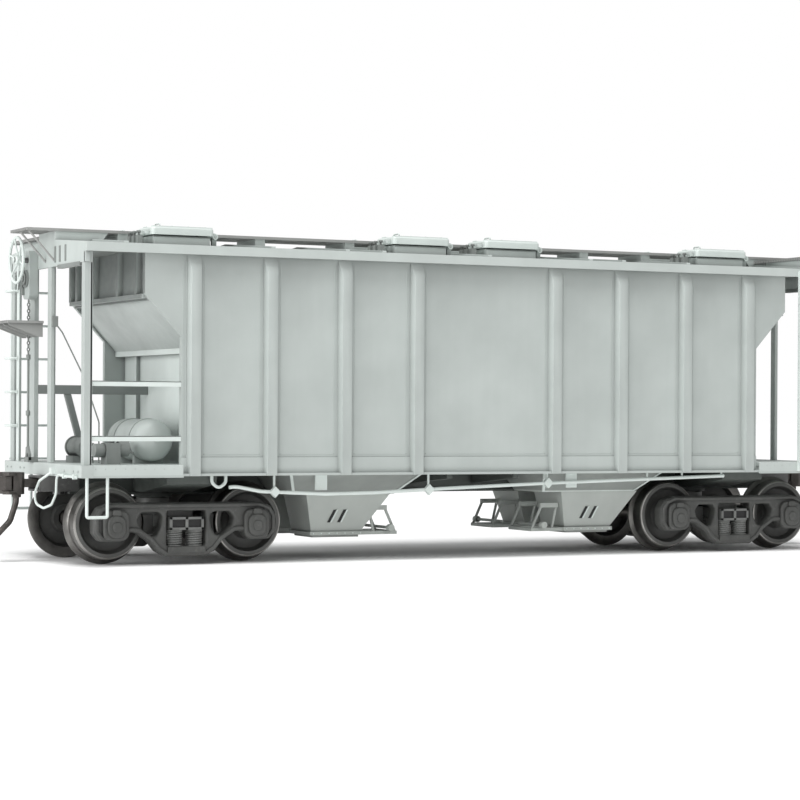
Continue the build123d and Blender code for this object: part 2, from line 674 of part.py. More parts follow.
def knuckle(end):
    x0 = COUPLER_PIVOT
    outline = [(x0 + 24.0, 2.2), (x0 + 27.2, 1.8), (x0 + 29.6, 1.2), (x0 + 30.4, -1.6),
               (x0 + 31.8, -2.0), (x0 + 32.5, -0.6), (x0 + 32.5, 3.0), (x0 + 31.0, 5.6),
               (x0 + 27.4, 6.6), (x0 + 24.4, 6.2)]
    body = prism_xy(outline, (COUPLER_HEIGHT - 3.2, COUPLER_HEIGHT + 3.2))
    body = body - cylinder_z(mm(x0 + KNUCKLE_PIN_X), mm(KNUCKLE_PIN_Y), 0.31, 0, 20)
    return body if end > 0 else Rot(0, 0, 180) * body


def trip_pin(end):
    # The uncoupling pin below the head, curved like a hanging air hose.
    x0 = COUPLER_PIVOT
    points = [(x0 + 19.6, -2.0, COUPLER_HEIGHT - 5.0), (x0 + 19.8, -2.0, 25.0),
              (x0 + 22.6, -2.0, 16.5), (x0 + 28.8, -2.0, 10.2)]
    pin = bent_wire(points, 1.6, 0.80)
    return pin if end > 0 else Rot(0, 0, 180) * pin


def centring_spring(end):
    x = end * (CENTRE_SILL_END + 1.95)
    return block((x - 0.35, x + 0.35), (-BOX_HALF + 1.6, BOX_HALF - 1.6),
                 (COUPLER_HEIGHT - 1.6, COUPLER_HEIGHT + 1.6))


# ------------------------------------------------------------- details

def ladder_rung_heights():
    return [44.0 + 16.0 * number for number in range(6)]


def side_ladder():
    # On the side, at the +X near corner.
    y = -POST_FACE - 1.2
    stiles = [block((x - 0.7, x + 0.7), (y - 0.4, -POST_FACE), (38.6, 140.8)) for x in (178.7, 200.3)]
    rungs = [bar((178.7, y, z), (200.3, y, z), 0.34) for z in ladder_rung_heights()]
    return union(stiles + rungs)


def end_ladder():
    # One stile, and rungs that stand off and end on the corner post.
    x = ROOF_END + 3.6
    stile = block((ROOF_END - 1.0, ROOF_END), (-45.5, -41.5), (SILL_TOP, GABLE_BOTTOM))
    rungs = []
    for z in ladder_rung_heights()[1:]:
        corners = [(ROOF_END - 0.5, -43.5, z), (x, -43.5, z), (x, -52.2, z), (ROOF_END, -52.2, z)]
        rungs.append(bent_wire(corners, 0.3, 0.34))
    return union([stile] + rungs)


def with_opposite(shape):
    # The same piece at both diagonal corners.
    return [shape, Rot(0, 0, 180) * shape]


def grab_irons():
    # Two hand rails on each of the two corners that have no ladder.
    rails = []
    for corner in (-1, 1):
        rail_y = (corner * (SIDE_FACE - 1.4), corner * SIDE_FACE)
        for z in (79.4, 55.0):
            rails.append(block((corner * LOWER_END, corner * (ROOF_END - 3.8)), rail_y, (z - 1.2, z + 1.2)))
    return rails


def stirrup_steps():
    wires = []
    for end in (-1, 1):
        for side in (-1, 1):
            y = side * (POST_FACE - 1.5)
            wires.append(bent_wire([(end * 200.3, y, SILL_BOTTOM), (end * 200.3, y, 20.2),
                                    (end * 190.8, y, 20.2), (end * 190.8, y, SILL_BOTTOM)], 0.35, 0.42))
    return wires


def uncoupling_lever():
    # At the -X end, near side: a rod along the end sill with a hanging handle.
    x = -(END_SILL_FACE + 1.0)
    return bent_wire([(x, -52.0, 38.0), (x, -38.0, 38.0), (x, -25.0, 38.6), (x, -24.5, 29.8),
                      (-205.2, -20.5, 24.7), (-206.5, -13.0, 22.9), (-208.0, -6.0, 24.7),
                      (-208.6, -6.4, 29.6), (-208.6, -13.0, 35.3), (x, -18.6, 39.6)], 0.6)


def side_pipe():
    # The pipe that runs under the near side sill, with its end loop and clamps.
    y = -51.4
    run = [(-128.0, 34.0), (-116.0, 30.6), (-84.0, 28.6), (-58.0, 29.6), (-22.0, 31.4),
           (34.0, 33.5), (137.0, 36.4)]
    pipe = bent_wire([(px, y, pz) for px, pz in run], 4.0, 0.42)
    loop = bent_wire([(-140.0, y, SIDE_BOTTOM), (-140.0, y, 35.2), (-136.6, y, 32.8), (-133.2, y, 35.2),
                      (-133.2, y, SIDE_BOTTOM)], 0.5, 0.40)
    clamps = []
    for px, pz in ((-109.0, 30.2), (-29.7, 31.1), (35.0, 33.5), (92.0, 35.1), (112.5, 35.7), (136.0, 36.4)):
        clamps.append(block((px - 1.3, px + 1.3), (y - 1.2, y + 1.2), (pz - 1.3, SIDE_BOTTOM)))
    return union([pipe, loop] + clamps)


# ---------------------------------------------------------- hand brake

def brake_wheel():
    z, y = height(BRAKE_HEIGHT), mm(BRAKE_Y)
    x = mm(BRAKE_WHEEL_X)
    rim = Plane(origin=(x, y, z), z_dir=(1, 0, 0)) * Torus(mm(BRAKE_WHEEL_RADIUS), 0.20)
    hub = cylinder_x(y, z, 0.62, x - 0.25, x + 0.75)
    shape = rim + hub
    for number in range(6):
        angle = math.radians(60 * number + 15)
        outer = mm(BRAKE_WHEEL_RADIUS)
        tip = Vector(x, y + outer * math.cos(angle), z + outer * math.sin(angle))
        root = Vector(x + 0.35, y, z)
        plane = Plane(origin=root, z_dir=tip - root)
        shape = shape + extrude(plane * Circle(0.13), amount=(tip - root).length)
    bore = cylinder_x(y, z, BRAKE_SHAFT_RADIUS, x - 1, x + 2)
    return shape - bore


def brake_shaft():
    front = mm(BRAKE_WHEEL_X) - 0.35
    return cylinder_x(mm(BRAKE_Y), height(BRAKE_HEIGHT), BRAKE_SHAFT_RADIUS, front, mm(-203.2))


def brake_housing():
    case = block((-205.6, -ROOF_END), (BRAKE_Y - 2.6, BRAKE_Y + 7.0), (119.0, 141.5))
    case = fillet(case.edges().filter_by(Axis.X), radius=0.7)
    bore_radius = BRAKE_SHAFT_RADIUS + 0.04
    return case - cylinder_x(mm(BRAKE_Y), height(BRAKE_HEIGHT), bore_radius, mm(-212), mm(-202.6))


def brake_rod():
    top, joint, bottom = 119.0, 66.0, 50.0
    rod = bar((BRAKE_ROD_X, BRAKE_ROD_Y, top), (BRAKE_ROD_X, BRAKE_ROD_Y, joint), 0.34)
    chain = bar((BRAKE_ROD_X, BRAKE_ROD_Y, joint), (BRAKE_ROD_X, BRAKE_ROD_Y, bottom), 0.5)
    crank_y = (BRAKE_Y - 4.0, BRAKE_Y + 2.0)
    crank = block((BRAKE_ROD_X - 1.2, -END_SILL_FACE), crank_y, (44.0, bottom))
    base = block((BRAKE_ROD_X - 1.2, -ROOF_END), crank_y, (SILL_TOP, 46.0))
    return union([rod, chain, crank, base])


def brake_step():
    deck = block((-218.5, -ROOF_END), (4.0, 31.0), (107.4, 108.6))
    braces = []
    for y in (5.0, 30.0):
        braces.append(prism_xz([(-218.2, 107.4), (-201.4, 107.4), (-201.4, 101.0), (-203.4, 101.0)],
                               (y - 0.6, y + 0.6)))
    rod_hole = cylinder_z(mm(BRAKE_ROD_X), mm(BRAKE_ROD_Y), 0.30, 0, 50)
    return union([deck] + braces) - rod_hole


# ------------------------------------------------------- air brake set

def air_reservoir():
    # A welded tank across the deck, with a dished end at each side.
    x, z = -160.5, 54.0
    radius = 9.6
    points = [(0, -35.5), (radius * 0.62, -34.4), (radius * 0.92, -31.5), (radius, -27.0), (radius, 1.0),
              (radius * 0.92, 5.5), (radius * 0.62, 8.4), (0, 9.5)]
    outline = [Vector(mm(x + px), mm(py), height(z)) for px, py in points]
    face = make_face(Polyline(*outline, close=True))
    tank = revolve(face, axis=Axis((mm(x), 0, height(z)), (0, 1, 0)))
    band = cylinder_y(mm(x), height(z), mm(radius + 0.7), mm(-14.6), mm(-12.4))
    feet = [block((x - 7.0, x + 7.0), (y - 1.2, y + 1.2), (SILL_TOP, 47.4)) for y in (-24.0, -4.0)]
    return union([tank, band] + feet)


def brake_cylinder():
    x = -184.0
    body = cylinder_y(mm(x), height(51.0), mm(6.6), mm(-4.0), mm(10.0))
    cap = cylinder_y(mm(x), height(51.0), mm(5.2), mm(10.0), mm(12.0))
    rod = cylinder_y(mm(x), height(51.0), mm(1.4), mm(-14.0), mm(-4.0))
    foot = block((x - 5.0, x + 5.0), (-2.0, 8.0), (SILL_TOP, 46.2))
    return union([body, cap, rod, foot])


def control_valve():
    x = -182.0
    pipe_bracket = block((x - 3.4, x + 3.4), (-38.0, -30.0), (SILL_TOP, 53.0))
    service = block((x - 8.0, x - 3.4), (-37.0, -31.0), (45.4, 52.4))
    emergency = block((x + 3.4, x + 8.4), (-37.0, -31.0), (46.0, 54.6))
    return union([pipe_bracket, service, emergency])


def brake_lever():
    # The cylinder lever and its fulcrum bracket, and the push rod's jaw.
    outline = [(-186.0, -16.6), (-182.0, -16.6), (-178.6, -27.4), (-181.6, -27.4)]
    lever = prism_xy(outline, (49.6, 51.0))
    post = block((-181.2, -179.0), (-27.0, -25.2), (SILL_TOP, 49.6))
    hanger = block((-185.0, -183.2), (-16.4, -14.2), (50.0, 52.0))
    return [lever + hanger, post]


def air_pipes():
    # Small-bore pipes from the control valve to the tank and to the retainer.
    z = 48.4
    tank_pipe = bent_wire([(-173.6, -34.0, z), (-171.0, -34.0, z), (-171.0, -24.0, z), (-168.6, -24.0, z)],
                          0.4, 0.26)
    retainer = bent_wire([(-ROOF_END + 1.2, -7.4, 108.0), (-196.0, -6.8, 103.0), (-185.4, -5.0, 83.7),
                          (-177.5, -5.0, 62.0), (-177.5, -5.0, SILL_TOP)], 1.2, 0.18)
    return [tank_pipe, retainer]


# -------------------------------------------------------------- export

def export_body():
    save("body_shell", body_shell())
    save("roof", roof())
    save("steel_weight", steel_weight())
    save("underframe", underframe())
    save("centre_sill", sill_and_bolsters())
    save("running_board", running_board())
    save("lateral_boards", lateral_board(-1), lateral_board(1), *board_braces())
    number = 0
    for x in HATCH_X:
        for side in (-1, 1):
            number += 1
            save("hatch_cover_%d" % number, hatch_cover(x, side))


def export_ends():
    for name, end in (("b", -1), ("a", 1)):
        save("end_posts_" + name, *end_posts(end))
        save("hopper_bay_" + name, *hopper_bay(end))
    plates, frames = [], []
    for end in (-1, 1):
        for side, bay in zip((-1, 1), hopper_bay(end)):
            plate, rails = outlet_gate(end, side, bay)
            plates.append(plate)
            frames.append(rails)
    save("outlet_gates", *plates)
    save("outlet_gate_frames", *frames)


def export_trucks():
    for name, end in (("b", -1), ("a", 1)):
        save("side_frames_" + name, *both_sides(side_frame(end)))
        save("truck_bolster_" + name, truck_bolster(end))
        save("truck_springs_" + name, *truck_springs(end))
        save("brake_beams_" + name, *brake_beams(end))
        for place, step in (("outer", 1), ("inner", -1)):
            x = mm(truck_x(end) + end * step * WHEELBASE / 2)
            save("axle_%s_%s" % (name, place), axle(x))
            save("wheels_%s_%s" % (name, place), wheel(x, -1), wheel(x, 1))


def export_couplers():
    for name, end in (("b", -1), ("a", 1)):
        save("coupler_" + name, coupler_body(end))
        save("coupler_knuckle_" + name, knuckle(end))
        save("trip_pin_" + name, trip_pin(end))
    save("coupler_boxes", coupler_box(-1), coupler_box(1), coupler_lid(-1), coupler_lid(1))
    save("screws", *[screw(end) for end in (-1, 1) for screw in (truck_screw, coupler_screw)])
    save("centring_springs", centring_spring(-1), centring_spring(1))


def export_details():
    save("ladders", *with_opposite(side_ladder()), *with_opposite(end_ladder()))
    save("grab_irons", *grab_irons())
    save("stirrup_steps", *stirrup_steps())
    save("uncoupling_levers", *with_opposite(uncoupling_lever()))
    save("side_pipe", side_pipe())
    save("brake_wheel", brake_wheel())
    save("brake_shaft", brake_shaft())
    save("brake_housing", brake_housing())
    save("brake_rod", brake_rod())
    save("brake_step", brake_step())
    save("air_reservoir", air_reservoir())
    save("brake_cylinder", brake_cylinder(), *brake_lever())
    save("control_valve", control_valve())
    save("air_pipes", *air_pipes())


export_body()
export_ends()
export_trucks()
export_couplers()
export_details()
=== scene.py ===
import json
import math
import bmesh
import bpy
from mathutils import Matrix, Vector

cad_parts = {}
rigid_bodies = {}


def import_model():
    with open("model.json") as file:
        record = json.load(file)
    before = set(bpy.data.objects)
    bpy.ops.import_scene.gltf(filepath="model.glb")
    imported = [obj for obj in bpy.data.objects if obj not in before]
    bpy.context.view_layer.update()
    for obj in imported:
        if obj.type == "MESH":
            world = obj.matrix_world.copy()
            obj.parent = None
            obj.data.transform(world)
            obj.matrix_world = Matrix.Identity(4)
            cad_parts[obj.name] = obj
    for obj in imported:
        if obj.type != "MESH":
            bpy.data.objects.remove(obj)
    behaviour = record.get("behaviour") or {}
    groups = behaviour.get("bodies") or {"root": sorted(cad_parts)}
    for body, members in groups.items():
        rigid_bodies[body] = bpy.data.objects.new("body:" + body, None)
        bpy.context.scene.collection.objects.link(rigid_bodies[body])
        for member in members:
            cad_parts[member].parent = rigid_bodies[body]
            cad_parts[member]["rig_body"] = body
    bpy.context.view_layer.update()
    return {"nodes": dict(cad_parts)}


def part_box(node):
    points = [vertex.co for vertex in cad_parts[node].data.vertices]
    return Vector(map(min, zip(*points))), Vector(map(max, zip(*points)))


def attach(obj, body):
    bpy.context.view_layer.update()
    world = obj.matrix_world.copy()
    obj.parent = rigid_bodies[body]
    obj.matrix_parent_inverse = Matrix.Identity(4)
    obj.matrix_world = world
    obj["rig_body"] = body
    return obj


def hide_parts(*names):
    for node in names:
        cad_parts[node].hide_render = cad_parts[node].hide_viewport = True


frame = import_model()

# ------------------------------------------------------------------ units
# Places are in inches of the full-size car, as on its drawings, with heights
# above the rail. at() turns them into the frame's metres.

INCH = 0.0254 / 87.1
MM = 0.001
RAIL = 0.64 * MM

POST_PITCH = 37.4
POST_FACE = 56.3
SIDE_FACE = 52.7
SIDE_BOTTOM = 38.2
SILL_TOP = 43.2
SILL_BOTTOM = 37.6
EAVE = 137.6
ROOF_END = 201.4
LOWER_END = 155.5
END_SILL_FACE = 203.4
TRUCK_CENTRE = 149.0
BAY_CENTRE = 67.0
HALF_WHEELBASE = 34.0
AXLE_HEIGHT = 16.5
COUPLER_HEIGHT = 34.0
HATCH_X = (-147.4, -24.9, 24.9, 147.4)
HATCH_HALF = 15.2
BRAKE_Y = 15.5
BRAKE_HEIGHT = 137.0
ENDS = (("b", -1), ("a", 1))


def at(x, y, z):
    return Vector((x * INCH, y * INCH, RAIL + z * INCH))


def inches(node):
    """The lowest and highest corner of a CAD node, in inches."""
    low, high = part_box(node)
    rail = Vector((0, 0, RAIL))
    return (low - rail) / INCH, (high - rail) / INCH


# ------------------------------------------------------------- mesh tools

def about(middle, half):
    return middle - half, middle + half


def add_block(bm, x, y, z):
    low, high = at(min(x), min(y), min(z)), at(max(x), max(y), max(z))
    made = bmesh.ops.create_cube(bm, size=1.0)["verts"]
    for vert in made:
        share = vert.co + Vector((0.5, 0.5, 0.5))
        vert.co = Vector(low[i] + share[i] * (high[i] - low[i]) for i in range(3))
    return made


def add_prism(bm, outline, sweep):
    """A solid swept from a flat outline of points in metres."""
    face = bm.faces.new([bm.verts.new(point) for point in outline])
    made = bmesh.ops.extrude_face_region(bm, geom=[face])
    moved = [item for item in made["geom"] if isinstance(item, bmesh.types.BMVert)]
    bmesh.ops.translate(bm, verts=moved, vec=sweep)


def turns(count):
    """Angles spread evenly over one full turn."""
    return [2 * math.pi * step / count for step in range(count)]


def add_ring(bm, middle, radius, first, second, sides):
    """A ring of vertices about a middle, or a single vertex where the radius is nothing."""
    if radius < 1e-7:
        return [bm.verts.new(middle)]
    return [bm.verts.new(middle + radius * (math.cos(turn) * first + math.sin(turn) * second))
            for turn in turns(sides)]


def add_skin(bm, rings, sides, closed):
    """Faces between neighbouring rings, and from the last to the first if closed."""
    pairs = list(zip(rings, rings[1:]))
    if closed:
        pairs.append((rings[-1], rings[0]))
    made = []
    for near, far in pairs:
        for step in range(sides):
            after = (step + 1) % sides
            corners = [near[step % len(near)], near[after % len(near)],
                       far[after % len(far)], far[step % len(far)]]
            corners = list(dict.fromkeys(corners))
            if len(corners) > 2:
                made.append(bm.faces.new(corners))
    return made


def add_tube(bm, path, radius, sides=10, closed=False):
    """A round tube along a path of points in metres."""
    count = len(path)
    rings = []
    normal = None
    for number, point in enumerate(path):
        if closed:
            ahead = path[(number + 1) % count] - path[number - 1]
        else:
            ahead = path[min(number + 1, count - 1)] - path[max(number - 1, 0)]
        ahead.normalize()
        if normal is None:
            normal = ahead.orthogonal().normalized()
        else:
            normal = (normal - ahead * normal.dot(ahead)).normalized()
        rings.append(add_ring(bm, point, radius, normal, ahead.cross(normal), sides))
    add_skin(bm, rings, sides, closed)
    if not closed:
        bm.faces.new(rings[0])
        bm.faces.new(rings[-1])


def corner_arc(before, corner, after, radius, steps, limit):
    """The points that round one corner; limit is the share of a side that the arc may use."""
    arrive, leave = before - corner, after - corner
    half = arrive.angle(leave) / 2
    setback = min(radius / math.tan(half), arrive.length * limit, leave.length * limit)
    start = corner + arrive.normalized() * setback
    end = corner + leave.normalized() * setback
    shares = [step / steps for step in range(steps + 1)]
    return [(1 - s) ** 2 * start + 2 * s * (1 - s) * corner + s ** 2 * end for s in shares]


def rounded(points, radius, steps=5):
    """A path through points in metres with each corner turned into an arc."""
    path = [points[0]]
    for before, corner, after in zip(points, points[1:], points[2:]):
        path += corner_arc(before, corner, after, radius, steps, 0.49)
    return path + [points[-1]]


def add_wire(bm, points, diameter, bend=0.4 * MM, sides=10):
    add_tube(bm, rounded([at(*point) for point in points], bend), diameter / 2, sides)


def add_lathe(bm, profile, centre, axis, sides=48, closed=False):
    """A profile of (radius, distance along the axis) turned about an axis."""
    along = Vector(axis).normalized()
    first = along.orthogonal().normalized()
    second = along.cross(first)
    rings = [add_ring(bm, centre + along * place, radius, first, second, sides)
             for radius, place in profile]
    return add_skin(bm, rings, sides, closed)


def add_drum(bm, start, end, radius, sides=24, edge=0.0):
    """A solid cylinder between two points, with its rims eased by edge."""
    axis = end - start
    length = axis.length
    profile = [(0.0, 0.0), (radius - edge, 0.0), (radius, edge), (radius, length - edge),
               (radius - edge, length), (0.0, length)]
    if edge == 0.0:
        profile = [(0.0, 0.0), (radius, 0.0), (radius, length), (0.0, length)]
    add_lathe(bm, profile, start, axis, sides)


def scaled(profile, unit):
    return [(radius * unit, place * unit) for radius, place in profile]


def add_rivet(bm, centre, axis, radius):
    profile = scaled([(1.0, 0.0), (0.85, 0.4), (0.45, 0.65), (0.0, 0.72)], radius)
    add_lathe(bm, profile, centre, axis, 10)


def add_bolt(bm, centre, axis, radius):
    """A hexagon head with a washer face under it."""
    along = Vector(axis).normalized()
    add_lathe(bm, scaled([(0.0, 0.0), (1.2, 0.0), (1.2, 0.15), (0.0, 0.15)], radius), centre, axis, 16)
    add_lathe(bm, scaled([(1.0, 0.0), (1.0, 0.7), (0.8, 0.85), (0.0, 0.85)], radius),
              centre + along * radius * 0.1, axis, 6)


def rounded_outline(points, radius, steps=5):
    """A closed 2D outline in inches with each corner turned into an arc."""
    corners = [Vector(point) for point in points]
    outline = []
    for number, corner in enumerate(corners):
        after = corners[(number + 1) % len(corners)]
        outline += corner_arc(corners[number - 1], corner, after, radius, steps, 0.48)
    return outline


def grown(outline, distance):
    """A closed 2D outline moved outwards by a distance, or inwards if negative."""
    area = sum(a.x * b.y - b.x * a.y for a, b in zip(outline, outline[1:] + outline[:1]))
    sign = 1 if area > 0 else -1
    moved = []
    for number, point in enumerate(outline):
        ahead = (outline[(number + 1) % len(outline)] - outline[number - 1]).normalized()
        moved.append(point + Vector((ahead.y, -ahead.x)) * distance * sign)
    return moved


def add_plate(bm, outlines, centre, y_low, y_high, bevel):
    """A cast plate across Y: outlines and holes in X and Z inches, y and bevel in metres."""
    curve = bpy.data.curves.new("outline", "CURVE")
    curve.dimensions = "2D"
    curve.fill_mode = "BOTH"
    curve.extrude = (y_high - y_low) / 2 - bevel
    curve.bevel_depth = bevel
    curve.bevel_resolution = 2
    curve.offset = -bevel
    for outline in outlines:
        spline = curve.splines.new("POLY")
        spline.points.add(len(outline) - 1)
        for point, place in zip(spline.points, outline):
            point.co = ((centre + place[0]) * INCH, RAIL + place[1] * INCH, 0, 1)
        spline.use_cyclic_u = True
    holder = bpy.data.objects.new("outline", curve)
    bpy.context.scene.collection.objects.link(holder)
    shown = holder.evaluated_get(bpy.context.evaluated_depsgraph_get())
    mesh = bpy.data.meshes.new_from_object(shown)
    upright = Matrix(((1, 0, 0, 0), (0, 0, 1, (y_low + y_high) / 2), (0, 1, 0, 0), (0, 0, 0, 1)))
    mesh.transform(upright)
    bm.from_mesh(mesh)
    bpy.data.objects.remove(holder)
    bpy.data.curves.remove(curve)
    bpy.data.meshes.remove(mesh)


def mirrored(bm, *axes):
    """Adds a copy of all of bm, mirrored across each axis named: 0 and 1 make a half turn."""
    made = bmesh.ops.duplicate(bm, geom=bm.verts[:] + bm.edges[:] + bm.faces[:])
    for item in made["geom"]:
        if isinstance(item, bmesh.types.BMVert):
            for axis in axes:
                item.co[axis] *= -1


def evaluated_mesh(obj):
    shown = obj.evaluated_get(bpy.context.evaluated_depsgraph_get())
    return bpy.data.meshes.new_from_object(shown)


def ease_edges(obj, width, angle=32, segments=2):
    """Rounds the sharp edges of an object, and keeps its flat faces flat."""
    modifier = obj.modifiers.new("edges", "BEVEL")
    modifier.width = width
    modifier.segments = segments
    modifier.limit_method = "ANGLE"
    modifier.angle_limit = math.radians(angle)
    modifier.use_clamp_overlap = True
    modifier.harden_normals = True
    mesh = evaluated_mesh(obj)
    obj.modifiers.clear()
    obj.data = mesh


def shade(mesh, angle=35):
    mesh.polygons.foreach_set("use_smooth", [True] * len(mesh.polygons))
    mesh.set_sharp_from_angle(angle=math.radians(angle))


def piece(bm, name, body, materials, bevel=0.0, replaced=None):
    """Turns gathered geometry into a piece that rides on a body; bevel in millimetres."""
    bmesh.ops.recalc_face_normals(bm, faces=bm.faces)
    mesh = bpy.data.meshes.new(name)
    bm.to_mesh(mesh)
    bm.free()
    obj = bpy.data.objects.new(name, mesh)
    bpy.context.scene.collection.objects.link(obj)
    shade(mesh)
    if bevel:
        ease_edges(obj, bevel * MM)
    for material in materials:
        obj.data.materials.append(material)
    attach(obj, body)
    if replaced:
        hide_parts(replaced)


def fixed(bm, name, material, bevel=0.0, replaced=None):
    """A piece in one material that stays with the body of the car."""
    piece(bm, name, "root", [material], bevel, replaced)


def clean_copy(node):
    """A CAD node's shape as a bmesh, with its flat faces in one piece."""
    bm = bmesh.new()
    bm.from_mesh(frame["nodes"][node].data)
    bmesh.ops.remove_doubles(bm, verts=bm.verts, dist=0.002 * MM)
    bmesh.ops.dissolve_limit(bm, angle_limit=math.radians(1.0), verts=bm.verts, edges=bm.edges)
    return bm


def finished(node, material, bevel):
    """A CAD node with its edges eased, as a painted moulding has them."""
    body = frame["nodes"][node]["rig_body"]
    piece(clean_copy(node), node + "_skin", body, [material], bevel, node)


def repainted(node, name, materials, bevel, pick):
    """A CAD node with its edges eased, and the material of each face chosen by pick."""
    bm = clean_copy(node)
    for face in bm.faces:
        face.material_index = pick(face)
    piece(bm, name, "root", materials, bevel, node)


# -------------------------------------------------------------- materials

class Nodes:
    """A short way to write a material's node tree."""

    def __init__(self, name):
        self.material = bpy.data.materials.new(name)
        self.material.use_nodes = True
        self.tree = self.material.node_tree
        self.shader = self.tree.nodes["Principled BSDF"]
        self.place = self.add("ShaderNodeTexCoord").outputs["Object"]

    def add(self, kind):
        return self.tree.nodes.new(kind)

    def join(self, output, socket):
        self.tree.links.new(output, socket)

    def noise(self, scale, detail=2.0, stretch=(1, 1, 1), roughness=0.5):
        mapping = self.add("ShaderNodeMapping")
        mapping.inputs["Scale"].default_value = stretch
        self.join(self.place, mapping.inputs["Vector"])
        texture = self.add("ShaderNodeTexNoise")
        texture.inputs["Scale"].default_value = scale
        texture.inputs["Detail"].default_value = detail
        texture.inputs["Roughness"].default_value = roughness
        self.join(mapping.outputs["Vector"], texture.inputs["Vector"])
        return texture.outputs["Fac"]

    def ranged(self, value, low=0.3, high=0.7, to_low=0.0, to_high=1.0):
        node = self.add("ShaderNodeMapRange")
        node.inputs["From Min"].default_value = low
        node.inputs["From Max"].default_value = high
        node.inputs["To Min"].default_value = to_low
        node.inputs["To Max"].default_value = to_high
        self.join(value, node.inputs["Value"])
        return node.outputs["Result"]

    def mixed(self, factor, first, second, mode="MIX"):
        node = self.add("ShaderNodeMix")
        node.data_type = "RGBA"
        node.blend_type = mode
        for number, value in ((0, factor), (6, first), (7, second)):
            socket = node.inputs[number]
            if isinstance(value, bpy.types.NodeSocket):
                self.join(value, socket)
            elif isinstance(value, (int, float)):
                socket.default_value = value
            else:
                socket.default_value = (*value, 1.0)
        return node.outputs[2]

    def crevice(self, distance, low=0.35, high=0.95):
        """0 deep in a corner and 1 in the open."""
        node = self.add("ShaderNodeAmbientOcclusion")
        node.samples = 8
        node.only_local = True
        node.inputs["Distance"].default_value = distance
        return self.ranged(node.outputs["AO"], low, high)

    def coat(self, colour):
        self.join(colour, self.shader.inputs["Base Color"])

    def roughen(self, scale, low, high):
        """A roughness that wanders between two values."""
        rough = self.ranged(self.noise(scale, 3.0), to_low=low, to_high=high)
        self.join(rough, self.shader.inputs["Roughness"])

    def bump(self, value, strength, distance):
        node = self.add("ShaderNodeBump")
        node.inputs["Strength"].default_value = strength
        node.inputs["Distance"].default_value = distance
        self.join(value, node.inputs["Height"])
        self.join(node.outputs["Normal"], self.shader.inputs["Normal"])


def lit(colour, amount):
    return tuple(min(1.0, channel * amount) for channel in colour)


def paint(name, colour, roughness=0.46, soft=0.05, corner_shade=0.55, corner=0.9 * MM):
    """Sprayed paint on a moulding: soft tone shifts, faint run-down streaks, a fine
    orange-peel skin, and painted shade that darkens the colour in the corners."""
    nodes = Nodes(name)
    cloud = nodes.ranged(nodes.noise(170, 3.0))
    base = nodes.mixed(cloud, lit(colour, 1 - soft), lit(colour, 1 + soft))
    streak = nodes.ranged(nodes.noise(900, 2.0, (1, 1, 0.07)), 0.42, 0.78, 0.0, soft * 2.2)
    base = nodes.mixed(streak, base, lit(colour, 0.82))
    grain = nodes.ranged(nodes.noise(9000, 1.0), 0.55, 0.8, 0.0, 0.16)
    base = nodes.mixed(grain, base, lit(colour, 0.9))
    # Painted shade: the colour darkens in corners and crevices, by the corner shade amount.
    open_air = nodes.crevice(corner)
    shaded = nodes.mixed(open_air, lit(colour, 1 - corner_shade), base)
    nodes.coat(shaded)
    nodes.roughen(700, roughness - 0.06, roughness + 0.08)
    nodes.bump(nodes.noise(5200, 2.0), 0.10, 0.02 * MM)
    return nodes.material


def cast_plastic(name, colour, roughness=0.55, worn=(0.30, 0.30, 0.29)):
    """Dark moulded plastic with a cast grain and lighter, rubbed high spots."""
    nodes = Nodes(name)
    cloud = nodes.ranged(nodes.noise(420, 4.0), 0.32)
    base = nodes.mixed(cloud, lit(colour, 0.86), lit(colour, 1.14))
    rub = nodes.ranged(nodes.noise(1500, 5.0, roughness=0.65), 0.56, 0.74, 0.0, 0.35)
    base = nodes.mixed(rub, base, worn)
    # Painted shade: the colour darkens in corners and crevices.
    open_air = nodes.crevice(0.8 * MM)
    shaded = nodes.mixed(open_air, lit(colour, 0.38), base)
    nodes.coat(shaded)
    nodes.roughen(1100, roughness - 0.08, roughness + 0.1)
    nodes.bump(nodes.noise(6500, 3.0, roughness=0.6), 0.22, 0.03 * MM)
    return nodes.material


def turned_metal(name, colour, roughness, dull=0.6, rings=True):
    """Lathe-turned metal with fine rings about Y and a darkened bloom."""
    nodes = Nodes(name)
    bloom = nodes.ranged(nodes.noise(600, 4.0))
    base = nodes.mixed(bloom, lit(colour, dull), colour)
    nodes.coat(base)
    nodes.shader.inputs["Metallic"].default_value = 1.0
    nodes.roughen(2600, roughness - 0.08, roughness + 0.08)
    stretch = (1, 12, 1) if rings else (1, 1, 1)
    nodes.bump(nodes.noise(2500, 2.0, stretch), 0.12, 0.01 * MM)
    return nodes.material


def black_casting(name):
    """Chemically blackened zinc: brown-black, slightly granular, rubbed on the edges."""
    nodes = Nodes(name)
    colour = (0.060, 0.055, 0.052)
    cloud = nodes.ranged(nodes.noise(700, 4.0))
    base = nodes.mixed(cloud, colour, (0.115, 0.105, 0.098))
    rub = nodes.ranged(nodes.noise(2400, 4.0), 0.60, 0.75, 0.0, 0.5)
    base = nodes.mixed(rub, base, (0.20, 0.19, 0.18))
    nodes.coat(base)
    nodes.shader.inputs["Metallic"].default_value = 0.65
    nodes.roughen(1500, 0.36, 0.55)
    nodes.bump(nodes.noise(7000, 3.0), 0.25, 0.02 * MM)
    return nodes.material


